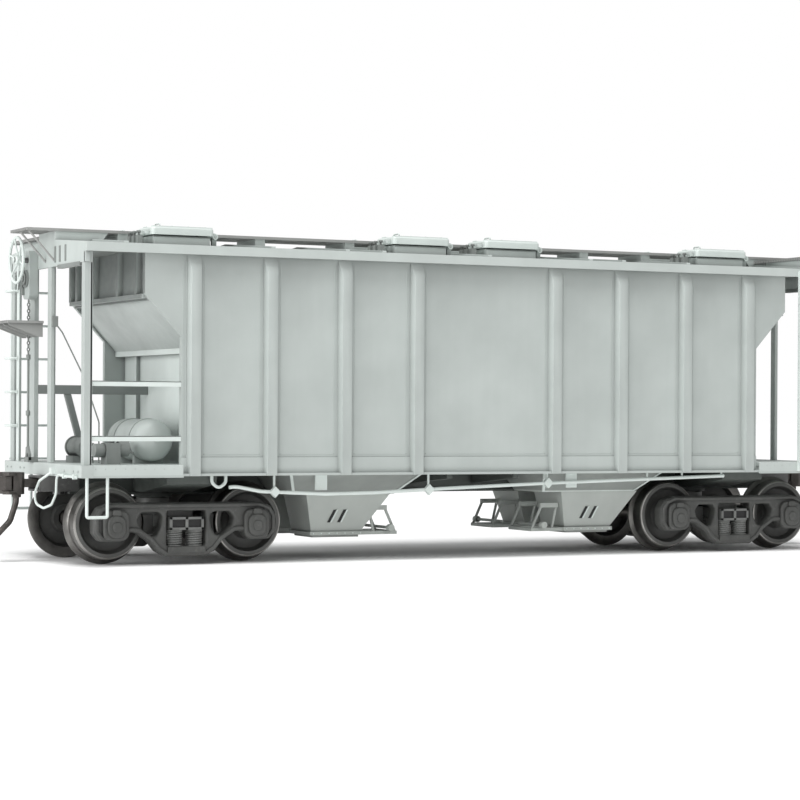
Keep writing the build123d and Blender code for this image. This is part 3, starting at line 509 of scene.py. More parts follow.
GREY = (0.500, 0.545, 0.525)
body_paint = paint("body_paint", lit(GREY, 0.84))
deck_paint = paint("deck_paint", lit(GREY, 0.96))
# Painted shade: a darker copy of the body grey for faces that lie in shade.
painted_shade_grey = paint("painted_shade_grey", lit(GREY, 0.42))
# Painted light: a lighter copy of the body grey, for the hatches and the lower cross walls where light
# falls.
hatch_paint = paint("hatch_paint", lit(GREY, 1.26), roughness=0.40)
roof_paint = paint("roof_paint", lit(GREY, 0.95), roughness=0.42)
trim_paint = paint("trim_paint", lit(GREY, 1.30), roughness=0.40, corner_shade=0.4, corner=0.4 * MM)
# Painted shadow: near black for what lies in shadow under the car.
shadow_paint = paint("shadow_paint", (0.075, 0.085, 0.078), roughness=0.6, corner_shade=0.6)
chute_paint = paint("chute_paint", (0.44, 0.47, 0.445), roughness=0.5, soft=0.08)
# Painted shade: a dark grey for undersides that lie in shade, the roof's and the funnels'.
painted_underside_shade = paint("painted_underside_shade", (0.27, 0.29, 0.275), roughness=0.5, soft=0.08)
gate_paint = paint("gate_paint", (0.30, 0.315, 0.30), roughness=0.55, soft=0.12)
board_paint = paint("board_paint", (0.32, 0.325, 0.315), roughness=0.5, soft=0.08)
tank_paint = paint("tank_paint", lit(GREY, 1.02), roughness=0.38, soft=0.08)
gear_paint = paint("gear_paint", (0.215, 0.232, 0.222), roughness=0.5, soft=0.15, corner_shade=0.75)
truck_plastic = cast_plastic("truck_plastic", (0.068, 0.070, 0.066), worn=(0.17, 0.17, 0.165))
# Painted shade: near black for pockets and slots that lie in shade.
painted_pocket_shade = cast_plastic("painted_pocket_shade", (0.012, 0.012, 0.012), worn=(0.02, 0.02, 0.02))
spring_plastic = cast_plastic("spring_plastic", (0.16, 0.165, 0.158), roughness=0.42)
wheel_plate = cast_plastic("wheel_plate", (0.052, 0.053, 0.050), roughness=0.46, worn=(0.10, 0.10, 0.095))
wheel_face = cast_plastic("wheel_face", (0.085, 0.086, 0.081), roughness=0.42, worn=(0.16, 0.16, 0.155))
# Painted highlight: a brighter metal for the thin ring at the rim's edge.
rim_painted_highlight = turned_metal("rim_painted_highlight", (0.42, 0.41, 0.39), 0.34)
wheel_tread = turned_metal("wheel_tread", (0.20, 0.195, 0.185), 0.36)
axle_metal = turned_metal("axle_metal", (0.28, 0.27, 0.25), 0.36)
coupler_metal = black_casting("coupler_metal")
box_plastic = cast_plastic("box_plastic", (0.10, 0.10, 0.098))
spring_metal = turned_metal("spring_metal", (0.62, 0.47, 0.27), 0.3, rings=False)
weight_metal = turned_metal("weight_metal", (0.42, 0.42, 0.43), 0.45, rings=False)
screw_metal = turned_metal("screw_metal", (0.22, 0.22, 0.22), 0.4, rings=False)


# ------------------------------------------------------------------- body

def body_light_and_shade(face):
    """Painted shade on the upper cross walls, painted light in a paler grey on the lower ones, body grey
    elsewhere.
    """
    middle = face.calc_center_median()
    if abs(face.normal.x) < 0.9:
        return 0
    # Painted shade on the upper cross walls under the roof.
    if middle.z > at(0, 0, 112.0).z and abs(middle.y) < SIDE_FACE * INCH:
        return 1
    # Painted light on the lower cross walls: a paler grey where the light falls.
    return 2 if middle.z < at(0, 0, 97.5).z and abs(middle.y) < (SIDE_FACE - 1.5) * INCH else 0


def roof_painted_shade(face):
    """The underside of the roof is in painted shade, darker than its top."""
    return 1 if face.normal.z < -0.5 else 0


def post_painted_shade(face):
    """The cross rail and the strut behind the brake post are in painted shade."""
    inside = all(abs(vert.co.x) < (ROOF_END - 2.0) * INCH for vert in face.verts)
    return 1 if inside and 17.0 * INCH < face.calc_center_median().y < 21.0 * INCH else 0


def floor_painted_shadow(face):
    """The deck and end sills are body grey; what lies under the floor is in painted shadow."""
    middle = face.calc_center_median()
    hidden = middle.z < at(0, 0, SIDE_BOTTOM + 0.5).z and abs(middle.x) < LOWER_END * INCH
    return 1 if hidden else 0


def body_skin():
    repainted("body_shell", "body_skin", [body_paint, painted_shade_grey, hatch_paint], 0.07, body_light_and_shade)
    repainted("roof", "roof_skin", [roof_paint, painted_underside_shade], 0.06, roof_painted_shade)
    for node in ("end_posts_b", "end_posts_a"):
        repainted(node, node + "_skin", [body_paint, painted_shade_grey], 0.06, post_painted_shade)
    finished("steel_weight", weight_metal, 0.10)


def underframe_skin():
    repainted("underframe", "underframe_skin", [deck_paint, shadow_paint], 0.06, floor_painted_shadow)
    # The centre sill under the floor is in painted shadow too.
    finished("centre_sill", shadow_paint, 0.06)


def panel_seams():
    """A faint pressed line inside each side panel, between the posts."""
    bm = bmesh.new()
    face, proud, width = SIDE_FACE, 0.09, 0.40
    bottom, top = 47.8, 134.6
    margin = 5.0
    edges = [-LOWER_END] + [POST_PITCH * n for n in range(-4, 5) if n] + [LOWER_END]
    for left, right in zip(edges, edges[1:]):
        x0 = left + (margin if left > -LOWER_END else 2.0)
        x1 = right - (margin if right < LOWER_END else 2.0)
        y = (-face - proud, -face + 0.1)
        add_block(bm, (x0, x0 + width), y, (bottom, top))
        add_block(bm, (x1 - width, x1), y, (bottom, top))
        add_block(bm, (x0, x1), y, (bottom, bottom + width))
    mirrored(bm, 1)
    fixed(bm, "panel_seams", body_paint, 0.02)


def grating(bm, x, y, z, pitch_across, pitch_along):
    """An open steel grating: long bars with cross bars just below their tops, inside a frame."""
    bar = 0.42
    x0, x1, y0, y1 = min(x), max(x), min(y), max(y)
    z0, z1 = min(z), max(z)
    rows = max(1, round((y1 - y0) / pitch_across))
    for row in range(rows + 1):
        middle = y0 + bar / 2 + (y1 - y0 - bar) * row / rows
        add_block(bm, (x0, x1), about(middle, bar / 2), (z0, z1))
    columns = max(1, round((x1 - x0) / pitch_along))
    for column in range(columns + 1):
        middle = x0 + bar / 2 + (x1 - x0 - bar) * column / columns
        add_block(bm, about(middle, bar / 2), (y0 + bar, y1 - bar), (z0, z1 - 0.25))


def running_boards():
    low, high = inches("running_board")
    bm = bmesh.new()
    grating(bm, (low.x, high.x), (low.y, high.y), (low.z, high.z), 1.55, 3.6)
    for x in range(-195, 196, 26):
        add_block(bm, about(x, 1.0), (low.y + 0.4, high.y - 0.4), (low.z, low.z + 0.5))
    fixed(bm, "running_board_grating", board_paint, 0.0, "running_board")
    bm = bmesh.new()
    for end in (-1, 1):
        side = -end
        x = (end * 181.5, end * ROOF_END)
        grating(bm, x, (side * 12.4, side * 55.8), (146.6, 148.0), 1.5, 3.6)
        for y in (-11.0, 1.6 if end < 0 else 11.0):
            add_wire(bm, [(end * 213.6, y, 149.0), (end * ROOF_END, y, 135.5)], 0.30 * MM)
            add_bolt(bm, at(end * ROOF_END, y, 136.0), (end, 0, 0), 0.17 * MM)
    fixed(bm, "lateral_board_gratings", board_paint, 0.0, "lateral_boards")


# ----------------------------------------------------------- roof hatches

def hatch(number, x, side):
    """A pressed cover with a raised crown, two hinge straps, and three dogs along its free edge."""
    node = "hatch_cover_%d" % number
    # The cover is in the lighter grey that stands for painted light on the hatches.
    finished(node, hatch_paint, 0.07)
    bm = bmesh.new()
    inset = 2.6
    half = HATCH_HALF - inset
    add_block(bm, about(x, half), (side * (14.0 + inset), side * (33.5 - inset)), (151.0, 151.75))
    for y in (side * 18.2, side * 29.3):
        add_block(bm, (x - 13.8, x + 15.6), about(y, 0.9), (151.0, 152.0))
        for step in (-12.4, -4.0, 4.0, 12.4):
            add_rivet(bm, at(x + step, y, 152.0), (0, 0, 1), 0.11 * MM)
    add_wire(bm, [(x - 9.0, side * 21.0, 151.5), (x - 9.0, side * 21.0, 153.2),
                  (x - 9.0, side * 26.6, 153.2), (x - 9.0, side * 26.6, 151.5)], 0.22 * MM, 0.25 * MM, 8)
    piece(bm, "hatch_%d_pressing" % number, "hatch_%d" % number, [hatch_paint], 0.05)


def hatch_seats():
    """What stays on the roof at each hatch: swing bolts, their lugs and a gasket line."""
    bm = bmesh.new()
    for x in HATCH_X:
        for side in (-1, 1):
            for y in (side * 18.6, side * 24.0, side * 29.4):
                left = x - HATCH_HALF - 5.0
                add_block(bm, (left - 1.0, left + 1.4), about(y, 1.4), (143.0, 147.4))
                add_wire(bm, [(left, y, 146.6), (left, y, 149.4)], 0.30 * MM, sides=8)
                add_bolt(bm, at(left, y, 148.6), (0, 0, 1), 0.30 * MM)
            y = side * 31.9
            add_wire(bm, [(x - 13.9, y, 147.0), (x + 13.9, y, 147.0)], 0.2 * MM, sides=8)
    fixed(bm, "hatch_swing_bolts", gear_paint, 0.03)


def hatches():
    number = 0
    for x in HATCH_X:
        for side in (-1, 1):
            number += 1
            hatch(number, x, side)
    hatch_seats()


# ------------------------------------------------------------------ ends

def ladders():
    """Angle stiles with bolted round rungs on the two ladder corners."""
    bm = bmesh.new()
    rungs = [44.0 + 16.0 * n for n in range(6)]
    y = -POST_FACE - 1.2
    for x, flange in ((178.7, 1), (200.3, -1)):
        add_block(bm, about(x, 0.3), (y - 0.4, -POST_FACE), (38.6, 140.8))
        add_block(bm, (x, x + flange * 1.5), (-POST_FACE - 0.5, -POST_FACE), (38.6, 140.8))
        for z in rungs:
            add_bolt(bm, at(x - flange * 0.3, y + 0.1, z), (-flange, 0, 0), 0.12 * MM)
    for z in rungs:
        add_wire(bm, [(178.9, y + 0.1, z), (200.1, y + 0.1, z)], 0.34 * MM)
    x = ROOF_END + 3.6
    add_block(bm, (ROOF_END - 1.0, ROOF_END), (-45.5, -44.5), (SILL_TOP, 132.9))
    add_block(bm, (ROOF_END - 0.3, ROOF_END), (-44.5, -41.5), (SILL_TOP, 132.9))
    for z in rungs[1:]:
        near, far = -43.5, -52.2
        add_wire(bm, [(ROOF_END, near, z), (x, near, z), (x, far, z), (ROOF_END, far, z)], 0.34 * MM)
        for y_foot in (near, far):
            add_bolt(bm, at(ROOF_END, y_foot, z), (1, 0, 0), 0.24 * MM)
    mirrored(bm, 0, 1)
    fixed(bm, "ladder_set", trim_paint, 0.03, "ladders")


def end_framing():
    """Gussets, bolt heads, post feet, and the slots and brackets of the gable plates in dark paint that
    stands for their shade.
    """
    bm = bmesh.new()
    for end in (-1, 1):
        x = end * ROOF_END
        for y_side in (-1, 1):
            foot = (x - end * 3.6, end * END_SILL_FACE)
            outer = (y_side * POST_FACE, y_side * (POST_FACE + 0.35))
            add_block(bm, foot, outer, (SILL_BOTTOM, SILL_TOP))
            add_block(bm, (x - end * 3.8, x), (y_side * 52.3, y_side * 53.3), (132.9, EAVE))
            edge = (x - end * 3.8, x - end * 2.9)
            add_block(bm, edge, (y_side * 49.6, y_side * 53.3), (SILL_TOP, 132.9))
            add_block(bm, (end * LOWER_END, x), (y_side * POST_FACE, y_side * (POST_FACE + 0.25)),
                      (SILL_BOTTOM, SILL_BOTTOM + 1.0))
            for z in (47.0, 52.0, 124.5, 129.5):
                add_rivet(bm, at(x, y_side * 51.2, z), (end, 0, 0), 0.10 * MM)
        for y in (-52.0, -46.0, -33.0, 26.0, 32.0, 46.0, 52.0):
            add_bolt(bm, at(end * END_SILL_FACE, y, 40.4), (end, 0, 0), 0.14 * MM)
        for y_side in (-1, 1):
            for step in range(9):
                place = at(end * (160.0 + 4.6 * step), y_side * POST_FACE, 41.6)
                add_rivet(bm, place, (0, y_side, 0), 0.08 * MM)
    fixed(bm, "end_plates", body_paint, 0.03)
    # Painted shade: thin dark blocks for the slots in the gable plates, and dark brackets under them.
    bm = bmesh.new()
    for end in (-1, 1):
        x = end * ROOF_END
        for y in (-27.0, -19.0, -12.5, 27.0, 34.0):
            add_block(bm, (x - end * 0.05, x + end * 0.35), about(y, 0.9), (134.6, 142.0))
        add_block(bm, (x - end * 2.4, x + end * 0.3), (-47.0, -16.0), (131.6, 133.4))
        add_block(bm, (x - end * 2.4, x + end * 0.3), (31.0, 47.0), (131.6, 133.4))
    fixed(bm, "gable_slot_and_bracket_shade", gear_paint, 0.03)


def hand_rails():
    """Two rails on each of the two corners that have no ladder."""
    bm = bmesh.new()
    for corner in (-1, 1):
        outer = corner * SIDE_FACE
        span = (corner * LOWER_END, corner * (ROOF_END - 3.8))
        for z in (79.4, 55.0):
            add_block(bm, span, (outer - corner * 0.5, outer), about(z, 1.2))
            add_block(bm, span, (outer - corner * 1.9, outer), (z + 0.7, z + 1.2))
    fixed(bm, "hand_rails", trim_paint, 0.03, "grab_irons")


def stirrups():
    """A bent-wire step under each corner, with its two feet."""
    bm = bmesh.new()
    for end in (-1, 1):
        for side in (-1, 1):
            y = side * (POST_FACE - 1.5)
            points = [(end * 200.3, y, SILL_BOTTOM), (end * 200.3, y, 20.2), (end * 190.8, y, 20.2),
                      (end * 190.8, y, SILL_BOTTOM)]
            add_wire(bm, points, 0.42 * MM, 0.30 * MM, 12)
            for x in (end * 200.3, end * 190.8):
                add_block(bm, about(x, 1.1), (y - 0.5, y + 0.8), (SILL_BOTTOM, SILL_BOTTOM + 2.4))
    fixed(bm, "stirrups", trim_paint, 0.0, "stirrup_steps")


def side_pipe():
    """The long pipe under the near side, with its end loop, diamond clamps and hangers."""
    bm = bmesh.new()
    y = -51.4
    run = [(-131.5, 32.9), (-128.0, 33.2), (-116.0, 30.9), (-84.0, 29.4), (-58.0, 29.8), (-22.0, 31.4),
           (34.0, 33.5), (137.0, 36.4)]
    add_wire(bm, [(x, y, z) for x, z in run], 0.50 * MM, 6.0 * MM, 12)
    loop = [(-140.0, y, SIDE_BOTTOM), (-140.0, y, 35.0), (-136.6, y, 32.4), (-133.2, y, 35.0),
            (-133.2, y, SIDE_BOTTOM)]
    add_wire(bm, loop, 0.44 * MM, 0.9 * MM, 12)
    for x, z in ((-109.0, 30.6), (-29.7, 31.0), (35.0, 33.6)):
        diamond = [at(x - 2.6, y, z), at(x, y, z - 2.6), at(x + 2.6, y, z), at(x, y, z + 2.6)]
        add_prism(bm, [point - Vector((0, 0.34 * MM, 0)) for point in diamond], Vector((0, 0.68 * MM, 0)))
    for x, z in ((-109.0, 30.6), (-29.7, 31.0), (35.0, 33.6), (92.0, 35.1), (112.5, 35.7), (136.0, 36.4)):
        add_block(bm, about(x, 0.5), (y + 0.4, y + 1.0), (z, SIDE_BOTTOM))
    fixed(bm, "side_pipe_run", trim_paint, 0.03, "side_pipe")


def uncoupling_levers():
    """The rod along the end sill, and the big loop handle that hangs from its bracket."""
    bm = bmesh.new()
    x = -(END_SILL_FACE + 1.0)
    rod = [(x, -52.0, 38.0), (x, -38.0, 38.0), (x, -25.0, 38.6), (x, -24.5, 29.8), (-205.2, -20.5, 24.7),
           (-206.5, -13.0, 22.9), (-208.0, -6.0, 24.7), (-208.6, -6.4, 29.6), (-208.6, -13.0, 35.3),
           (x, -18.6, 39.6)]
    add_wire(bm, rod, 0.34 * MM, 1.2 * MM)
    for y in (-50.0, -36.0):
        add_block(bm, (x - 0.9, -END_SILL_FACE), about(y, 0.8), (37.0, 39.2))
    add_block(bm, (x - 0.9, -END_SILL_FACE), (-20.4, -17.0), (38.6, 41.4))
    mirrored(bm, 0, 1)
    fixed(bm, "uncoupling_rods", trim_paint, 0.0, "uncoupling_levers")


# ------------------------------------------------------------ hand brake

def brake_wheel():
    """A dished six-spoke wheel with a flat-section rim, a hub boss and a nut."""
    bm = bmesh.new()
    low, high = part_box("brake_wheel")
    centre = Vector((-211.0 * INCH, BRAKE_Y * INCH, RAIL + BRAKE_HEIGHT * INCH))
    radius = (high.z - low.z) / 2 - 0.2 * MM
    rim = [(radius + 0.2 * MM * math.cos(turn), 0.2 * MM * math.sin(turn)) for turn in turns(12)]
    add_lathe(bm, rim, centre, (1, 0, 0), 72, closed=True)
    for spoke in range(6):
        turn = math.radians(60 * spoke + 15)
        out = Vector((0, math.cos(turn), math.sin(turn)))
        path = []
        for step in range(9):
            share = step / 8
            path.append(centre + out * (0.4 * MM + share * (radius - 0.4 * MM))
                        + Vector((0.38 * MM * (1 - share) ** 2, 0, 0)))
        add_tube(bm, path, 0.13 * MM, 8)
    hub = [(0.0, -0.24), (0.45, -0.24), (0.62, -0.05), (0.62, 0.62), (0.4, 0.74), (0.0, 0.74)]
    add_lathe(bm, scaled(hub, MM), centre, (1, 0, 0), 28)
    add_bolt(bm, centre + Vector((-0.2 * MM, 0, 0)), (-1, 0, 0), 0.3 * MM)
    piece(bm, "hand_wheel", "brake_wheel", [trim_paint], 0.0, "brake_wheel")
    finished("brake_shaft", screw_metal, 0.03)


def brake_gear():
    """The ratchet housing with its round cover, release lever, chain, rod and bell crank."""
    finished("brake_housing", body_paint, 0.12)
    bm = bmesh.new()
    face = -205.6
    centre = at(face, BRAKE_Y + 2.2, BRAKE_HEIGHT - 8.5)
    for radius, depth in ((4.1, 0.28), (2.9, 0.46), (1.3, 0.62)):
        add_drum(bm, centre, centre + Vector((-depth * MM, 0, 0)), radius * INCH, 32, 0.04 * MM)
    for turn in range(5):
        angle = math.radians(72 * turn + 20)
        spot = centre + Vector((-0.28 * MM, 3.5 * INCH * math.cos(angle), 3.5 * INCH * math.sin(angle)))
        add_bolt(bm, spot, (-1, 0, 0), 0.10 * MM)
    add_block(bm, (face - 1.2, face), (BRAKE_Y + 4.6, BRAKE_Y + 6.2), (121.0, 126.0))
    add_wire(bm, [(face - 0.6, BRAKE_Y + 4.6, 134.0), (face - 2.0, BRAKE_Y + 6.4, 130.0),
                  (face - 2.2, BRAKE_Y + 6.8, 123.5)], 0.24 * MM)
    fixed(bm, "brake_cover", gear_paint, 0.02)
    bm = bmesh.new()
    x, y = -205.2, 15.0
    top, joint = 118.6, 92.0
    link_length, wire = 0.62 * MM, 0.085 * MM
    count = int((top - joint) * INCH / (link_length - 2.2 * wire))
    for number in range(count):
        middle = at(x, y, top) - Vector((0, 0, (number + 0.5) * (link_length - 2.2 * wire)))
        sideways = Vector((1, 0, 0)) if number % 2 else Vector((0, 1, 0))
        loop = []
        for turn in turns(16):
            loop.append(middle + sideways * (0.17 * MM * math.cos(turn))
                        + Vector((0, 0, (link_length / 2 - wire) * math.sin(turn))))
        add_tube(bm, loop, wire, 6, closed=True)
    add_wire(bm, [(x, y, joint + 1.0), (x, y, 50.0)], 0.32 * MM)
    for z in (joint, 66.0):
        add_drum(bm, at(x, y, z - 1.2), at(x, y, z + 1.2), 0.30 * MM, 16, 0.05 * MM)
    crank = [at(x - 0.6, y - 3.4, 44.2), at(x - 0.6, y + 2.2, 44.2), at(x - 0.6, y + 1.4, 50.0),
             at(x - 0.6, y - 0.6, 50.8), at(x - 0.6, y - 3.4, 47.0)]
    add_prism(bm, crank, Vector((1.2 * INCH, 0, 0)))
    add_block(bm, (-206.2, -ROOF_END), (y - 3.4, y + 2.4), (43.3, 45.6))
    add_bolt(bm, at(x - 0.6, y - 1.2, 46.6), (-1, 0, 0), 0.2 * MM)
    fixed(bm, "brake_chain_and_rod", gear_paint, 0.0, "brake_rod")


def brake_step():
    """An open step on four pressed brackets."""
    low, high = inches("brake_step")
    bm = bmesh.new()
    grating(bm, (low.x, -ROOF_END), (low.y, high.y), (107.4, 108.6), 2.0, 2.4)
    for y in (5.0, 13.0, 22.0, 30.0):
        outline = [at(-218.2, y, 107.4), at(-201.5, y, 107.4), at(-201.5, y, 101.2), at(-203.2, y, 101.2),
                   at(-217.4, y, 106.4)]
        add_prism(bm, outline, Vector((0, 0.7 * INCH, 0)))
    fixed(bm, "brake_step_grating", board_paint, 0.0, "brake_step")


# ---------------------------------------------------------- air brake set

def air_tank():
    """The welded reservoir, its seams, two straps and their feet."""
    bm = bmesh.new()
    centre = at(-160.5, -13.0, 54.0)
    half, radius = 22.5 * INCH, 9.6 * INCH
    profile = []
    for step in range(9):
        turn = math.pi / 2 * step / 8
        profile.append((radius * math.sin(turn), -half + 6.0 * INCH * (1 - math.cos(turn))))
    seams = []
    for place in (-13.0, 13.0):
        middle = place * INCH
        seams += [(radius, middle - 0.25 * MM), (radius + 0.06 * MM, middle - 0.1 * MM),
                  (radius + 0.06 * MM, middle + 0.1 * MM), (radius, middle + 0.25 * MM)]
    profile += seams + [(r, -p) for r, p in reversed(profile)]
    add_lathe(bm, profile, centre, (0, 1, 0), 56)
    for y in (-24.0, -4.0):
        add_lathe(bm, [(radius - 0.02 * MM, -0.3 * MM), (radius + 0.10 * MM, -0.3 * MM),
                       (radius + 0.10 * MM, 0.3 * MM), (radius - 0.02 * MM, 0.3 * MM)],
                  at(-160.5, y, 54.0), (0, 1, 0), 56, closed=True)
        add_block(bm, (-167.5, -153.5), about(y, 1.2), (SILL_TOP, 47.2))
        for x in (-166.2, -154.8):
            add_bolt(bm, at(x, y, 47.2), (0, 0, 1), 0.14 * MM)
    add_drum(bm, at(-160.5, -35.6, 54.0), at(-160.5, -34.4, 54.0), 0.4 * MM, 20, 0.05 * MM)
    fixed(bm, "air_tank", tank_paint, 0.0, "air_reservoir")


def brake_cylinder():
    """The cylinder with its bolted head and push rod, and the lever on its bracket."""
    bm = bmesh.new()
    x, z = -184.0, 50.4
    profile = [(0.0, 0.0), (3.0, 0.0), (4.6, 1.4), (4.6, 12.2), (5.2, 12.3), (5.2, 13.6), (3.6, 14.2),
               (3.4, 15.6), (0.0, 15.8)]
    add_lathe(bm, scaled(profile, INCH), at(x, -4.0, z), (0, 1, 0), 40)
    for number in range(8):
        turn = 2 * math.pi * (number + 0.5) / 8
        spot = at(x + 4.8 * math.cos(turn), 9.6, z + 4.8 * math.sin(turn))
        add_bolt(bm, spot, (0, 1, 0), 0.09 * MM)
    add_drum(bm, at(x, -14.0, z), at(x, -4.0, z), 1.0 * INCH, 16)
    add_block(bm, about(x, 5.0), (-2.0, 8.0), (SILL_TOP, 46.4))
    add_prism(bm, [at(-186.0, -16.6, 49.6), at(-182.0, -16.6, 49.6), at(-178.6, -27.4, 49.6),
                   at(-181.6, -27.4, 49.6)], Vector((0, 0, 1.4 * INCH)))
    add_block(bm, (-185.0, -183.2), (-16.4, -14.2), (50.0, 52.0))
    add_block(bm, (-181.2, -179.0), (-27.0, -25.2), (SILL_TOP, 49.6))
    add_bolt(bm, at(-180.1, -26.2, 51.0), (0, 0, 1), 0.18 * MM)
    add_bolt(bm, at(-184.1, -15.6, 52.0), (0, 0, 1), 0.16 * MM)
    fixed(bm, "brake_cylinder_set", gear_paint, 0.03, "brake_cylinder")


def air_valve():
    """The control valve, with a cap at each end and a vent on top."""
    bm = bmesh.new()
    x = -182.0
    add_block(bm, about(x, 3.3), (-38.0, -30.0), (SILL_TOP, 52.8))
    add_drum(bm, at(x - 8.2, -34.0, 49.4), at(x - 3.2, -34.0, 49.4), 3.1 * INCH, 24, 0.08 * MM)
    add_drum(bm, at(x + 3.2, -34.0, 50.2), at(x + 8.2, -34.0, 50.2), 3.6 * INCH, 24, 0.08 * MM)
    for z in (45.5, 50.6):
        for y in (-36.8, -31.2):
            add_bolt(bm, at(x, y, z), (0, -1 if y < -34 else 1, 0), 0.13 * MM)
    add_drum(bm, at(x, -34.0, 52.6), at(x, -34.0, 54.4), 1.6 * INCH, 16, 0.05 * MM)
    fixed(bm, "air_valve", gear_paint, 0.05, "control_valve")


def small_pipes():
    """The pipe from the valve to the tank, and the one that climbs to the centre post."""
    bm = bmesh.new()
    x, z = -171.0, 48.4
    add_wire(bm, [(-173.8, -34.0, z), (x, -34.0, z), (x, -24.0, z), (-168.6, -24.0, z)], 0.26 * MM)
    climb = [(-200.2, -7.4, 108.0), (-196.0, -6.8, 103.0), (-185.4, -5.0, 83.7), (-177.5, -5.0, 62.0),
             (-177.5, -5.0, SILL_TOP)]
    add_wire(bm, climb, 0.20 * MM, 1.2 * MM)
    add_block(bm, (-201.2, -198.6), (-8.6, -6.2), (105.6, 110.4))
    fixed(bm, "small_pipes", gear_paint, 0.0, "air_pipes")


# ----------------------------------------------------------- hopper bays

def hopper_bay(name):
    """The chutes, with the funnels above them in painted shade, as under the roof."""
    node = "hopper_bay_" + name
    bm = clean_copy(node)
    split = at(0, 0, 29.5).z
    bmesh.ops.bisect_plane(bm, geom=bm.verts[:] + bm.edges[:] + bm.faces[:], plane_co=(0, 0, split),
                           plane_no=(0, 0, 1))
    for face in bm.faces:
        # Painted shade on the funnel slopes above the chutes.
        if face.calc_center_median().z > split:
            face.material_index = 1
    piece(bm, node + "_skin", "root", [chute_paint, painted_underside_shade], 0.07, node)


def bays():
    hopper_bay("b")
    hopper_bay("a")
    finished("outlet_gates", gate_paint, 0.04)
    finished("outlet_gate_frames", chute_paint, 0.03)
    bm, slots = bmesh.new(), bmesh.new()
    chute_pitch = 137.8
    for shift in (0.0, chute_pitch):
        for side in (-1, 1):
            chute_details(bm, slots, shift, side)
    fixed(bm, "chute_details", trim_paint, 0.02)
    piece(slots, "poke_slot_shade", "root", [painted_pocket_shade])


def poke_slit(bm, x, half, y_of, sweep):
    """One slanted strip on the chute's sloping side."""
    low, high, lean = 15.3, 21.3, 2.6
    corners = ((x - half, low), (x + half, low), (x + lean + half, high), (x + lean - half, high))
    add_prism(bm, [at(px, y_of(pz), pz) for px, pz in corners], Vector((0, sweep, 0)))


def chute_details(bm, slots, shift, side):
    """The poke-hole slits, with black strips of painted shade beside them, the flange bolts and the
    stiffener of one chute.
    """
    foot_y, foot_z, slope, proud = 31.0, 10.2, 5.0 / 18.6, 0.05

    def y_of(z):
        return side * (foot_y + (z - foot_z) * slope + proud)

    for x in (-72.5, -67.3):
        poke_slit(bm, x + 0.55 + shift, 0.40, y_of, side * 0.55 * INCH)
        # A black strip of painted shade for the hollow of the slit.
        poke_slit(slots, x - 0.55 + shift, 0.75, y_of, side * 0.16 * INCH)
    low_y, high_y = side * 36.2, side * 50.2
    centre = BAY_CENTRE if shift else -BAY_CENTRE
    for end in (-1, 1):
        foot, head = centre + end * 26.5, centre + end * 34.0
        strip = [at(foot, low_y, 28.8), at(foot - end * 1.3, low_y, 28.8),
                 at(head - end * 1.3, high_y, SIDE_BOTTOM), at(head, high_y, SIDE_BOTTOM)]
        add_prism(bm, strip, Vector((0, side * 0.6 * INCH, 0)))
    add_block(bm, about(centre, 26.5), (low_y - side * 0.4, low_y + side * 0.6), (28.8, 29.8))
    rib = centre - 18.0
    add_block(bm, about(rib, 3.0), (side * 49.4, side * 50.2), (31.2, SIDE_BOTTOM))
    for number in range(7):
        x = -80.8 + 4.1 * number + shift
        add_bolt(bm, at(x, side * 32.2, 10.1), (0, side, 0), 0.10 * MM)


# ---------------------------------------------------------------- trucks

def side_frame(bm, centre, side):
    """One cast side frame: a plate with round-edged windows, a raised chord, boxes and a seat."""
    inner, face, chord, lid = 10.75 * MM, 12.72 * MM, 12.95 * MM, 13.7 * MM

    def plate(outlines, near, far, bevel):
        low, high = (side * near, side * far) if side > 0 else (side * far, side * near)
        add_plate(bm, outlines, centre, low, high, bevel * MM)

    half = [(10.0, 1.6), (14.2, 4.2), (17.8, 8.6), (24.0, 12.6), (27.5, 12.8), (30.5, 8.8), (41.0, 8.8),
            (44.0, 12.5), (44.0, 20.0), (41.5, 24.2), (36.0, 26.0)]
    outline = rounded_outline(half + [(-x, z) for x, z in reversed(half)], 2.6)
    hole = [(11.4, 19.6), (13.2, 21.7), (21.4, 21.7), (23.6, 18.8), (22.4, 15.2), (17.4, 11.0),
            (14.2, 11.0), (12.2, 14.6)]
    holes = [rounded_outline([(step * x, z) for x, z in hole], 2.2) for step in (-1, 1)]
    window = rounded_outline([(-9.4, 6.3), (9.4, 6.3), (9.4, 22.2), (-9.4, 22.2)], 1.2)
    plate([outline, window] + holes, inner, face, 0.30)
    plate([grown(outline, -0.5), grown(outline, -2.3)], face - 0.3 * MM, chord, 0.16)
    seat = [(-9.4, 3.0), (9.4, 3.0), (9.0, 6.2), (-9.0, 6.2)]
    plate([rounded_outline(seat, 0.9)], face - 0.3 * MM, chord + 0.08 * MM, 0.14)
    for step in (-1, 1):
        journal_box(plate, step * HALF_WHEELBASE, face, lid)
    middle = Vector((centre * INCH, side * (face - 0.02 * MM), 0))
    for x, z in ((-22.0, 24.0), (22.0, 24.0), (-6.0, 24.4), (6.0, 24.4), (-11.0, 8.0), (11.0, 8.0)):
        add_rivet(bm, middle + at(x, 0, z), (0, side, 0), 0.13 * MM)


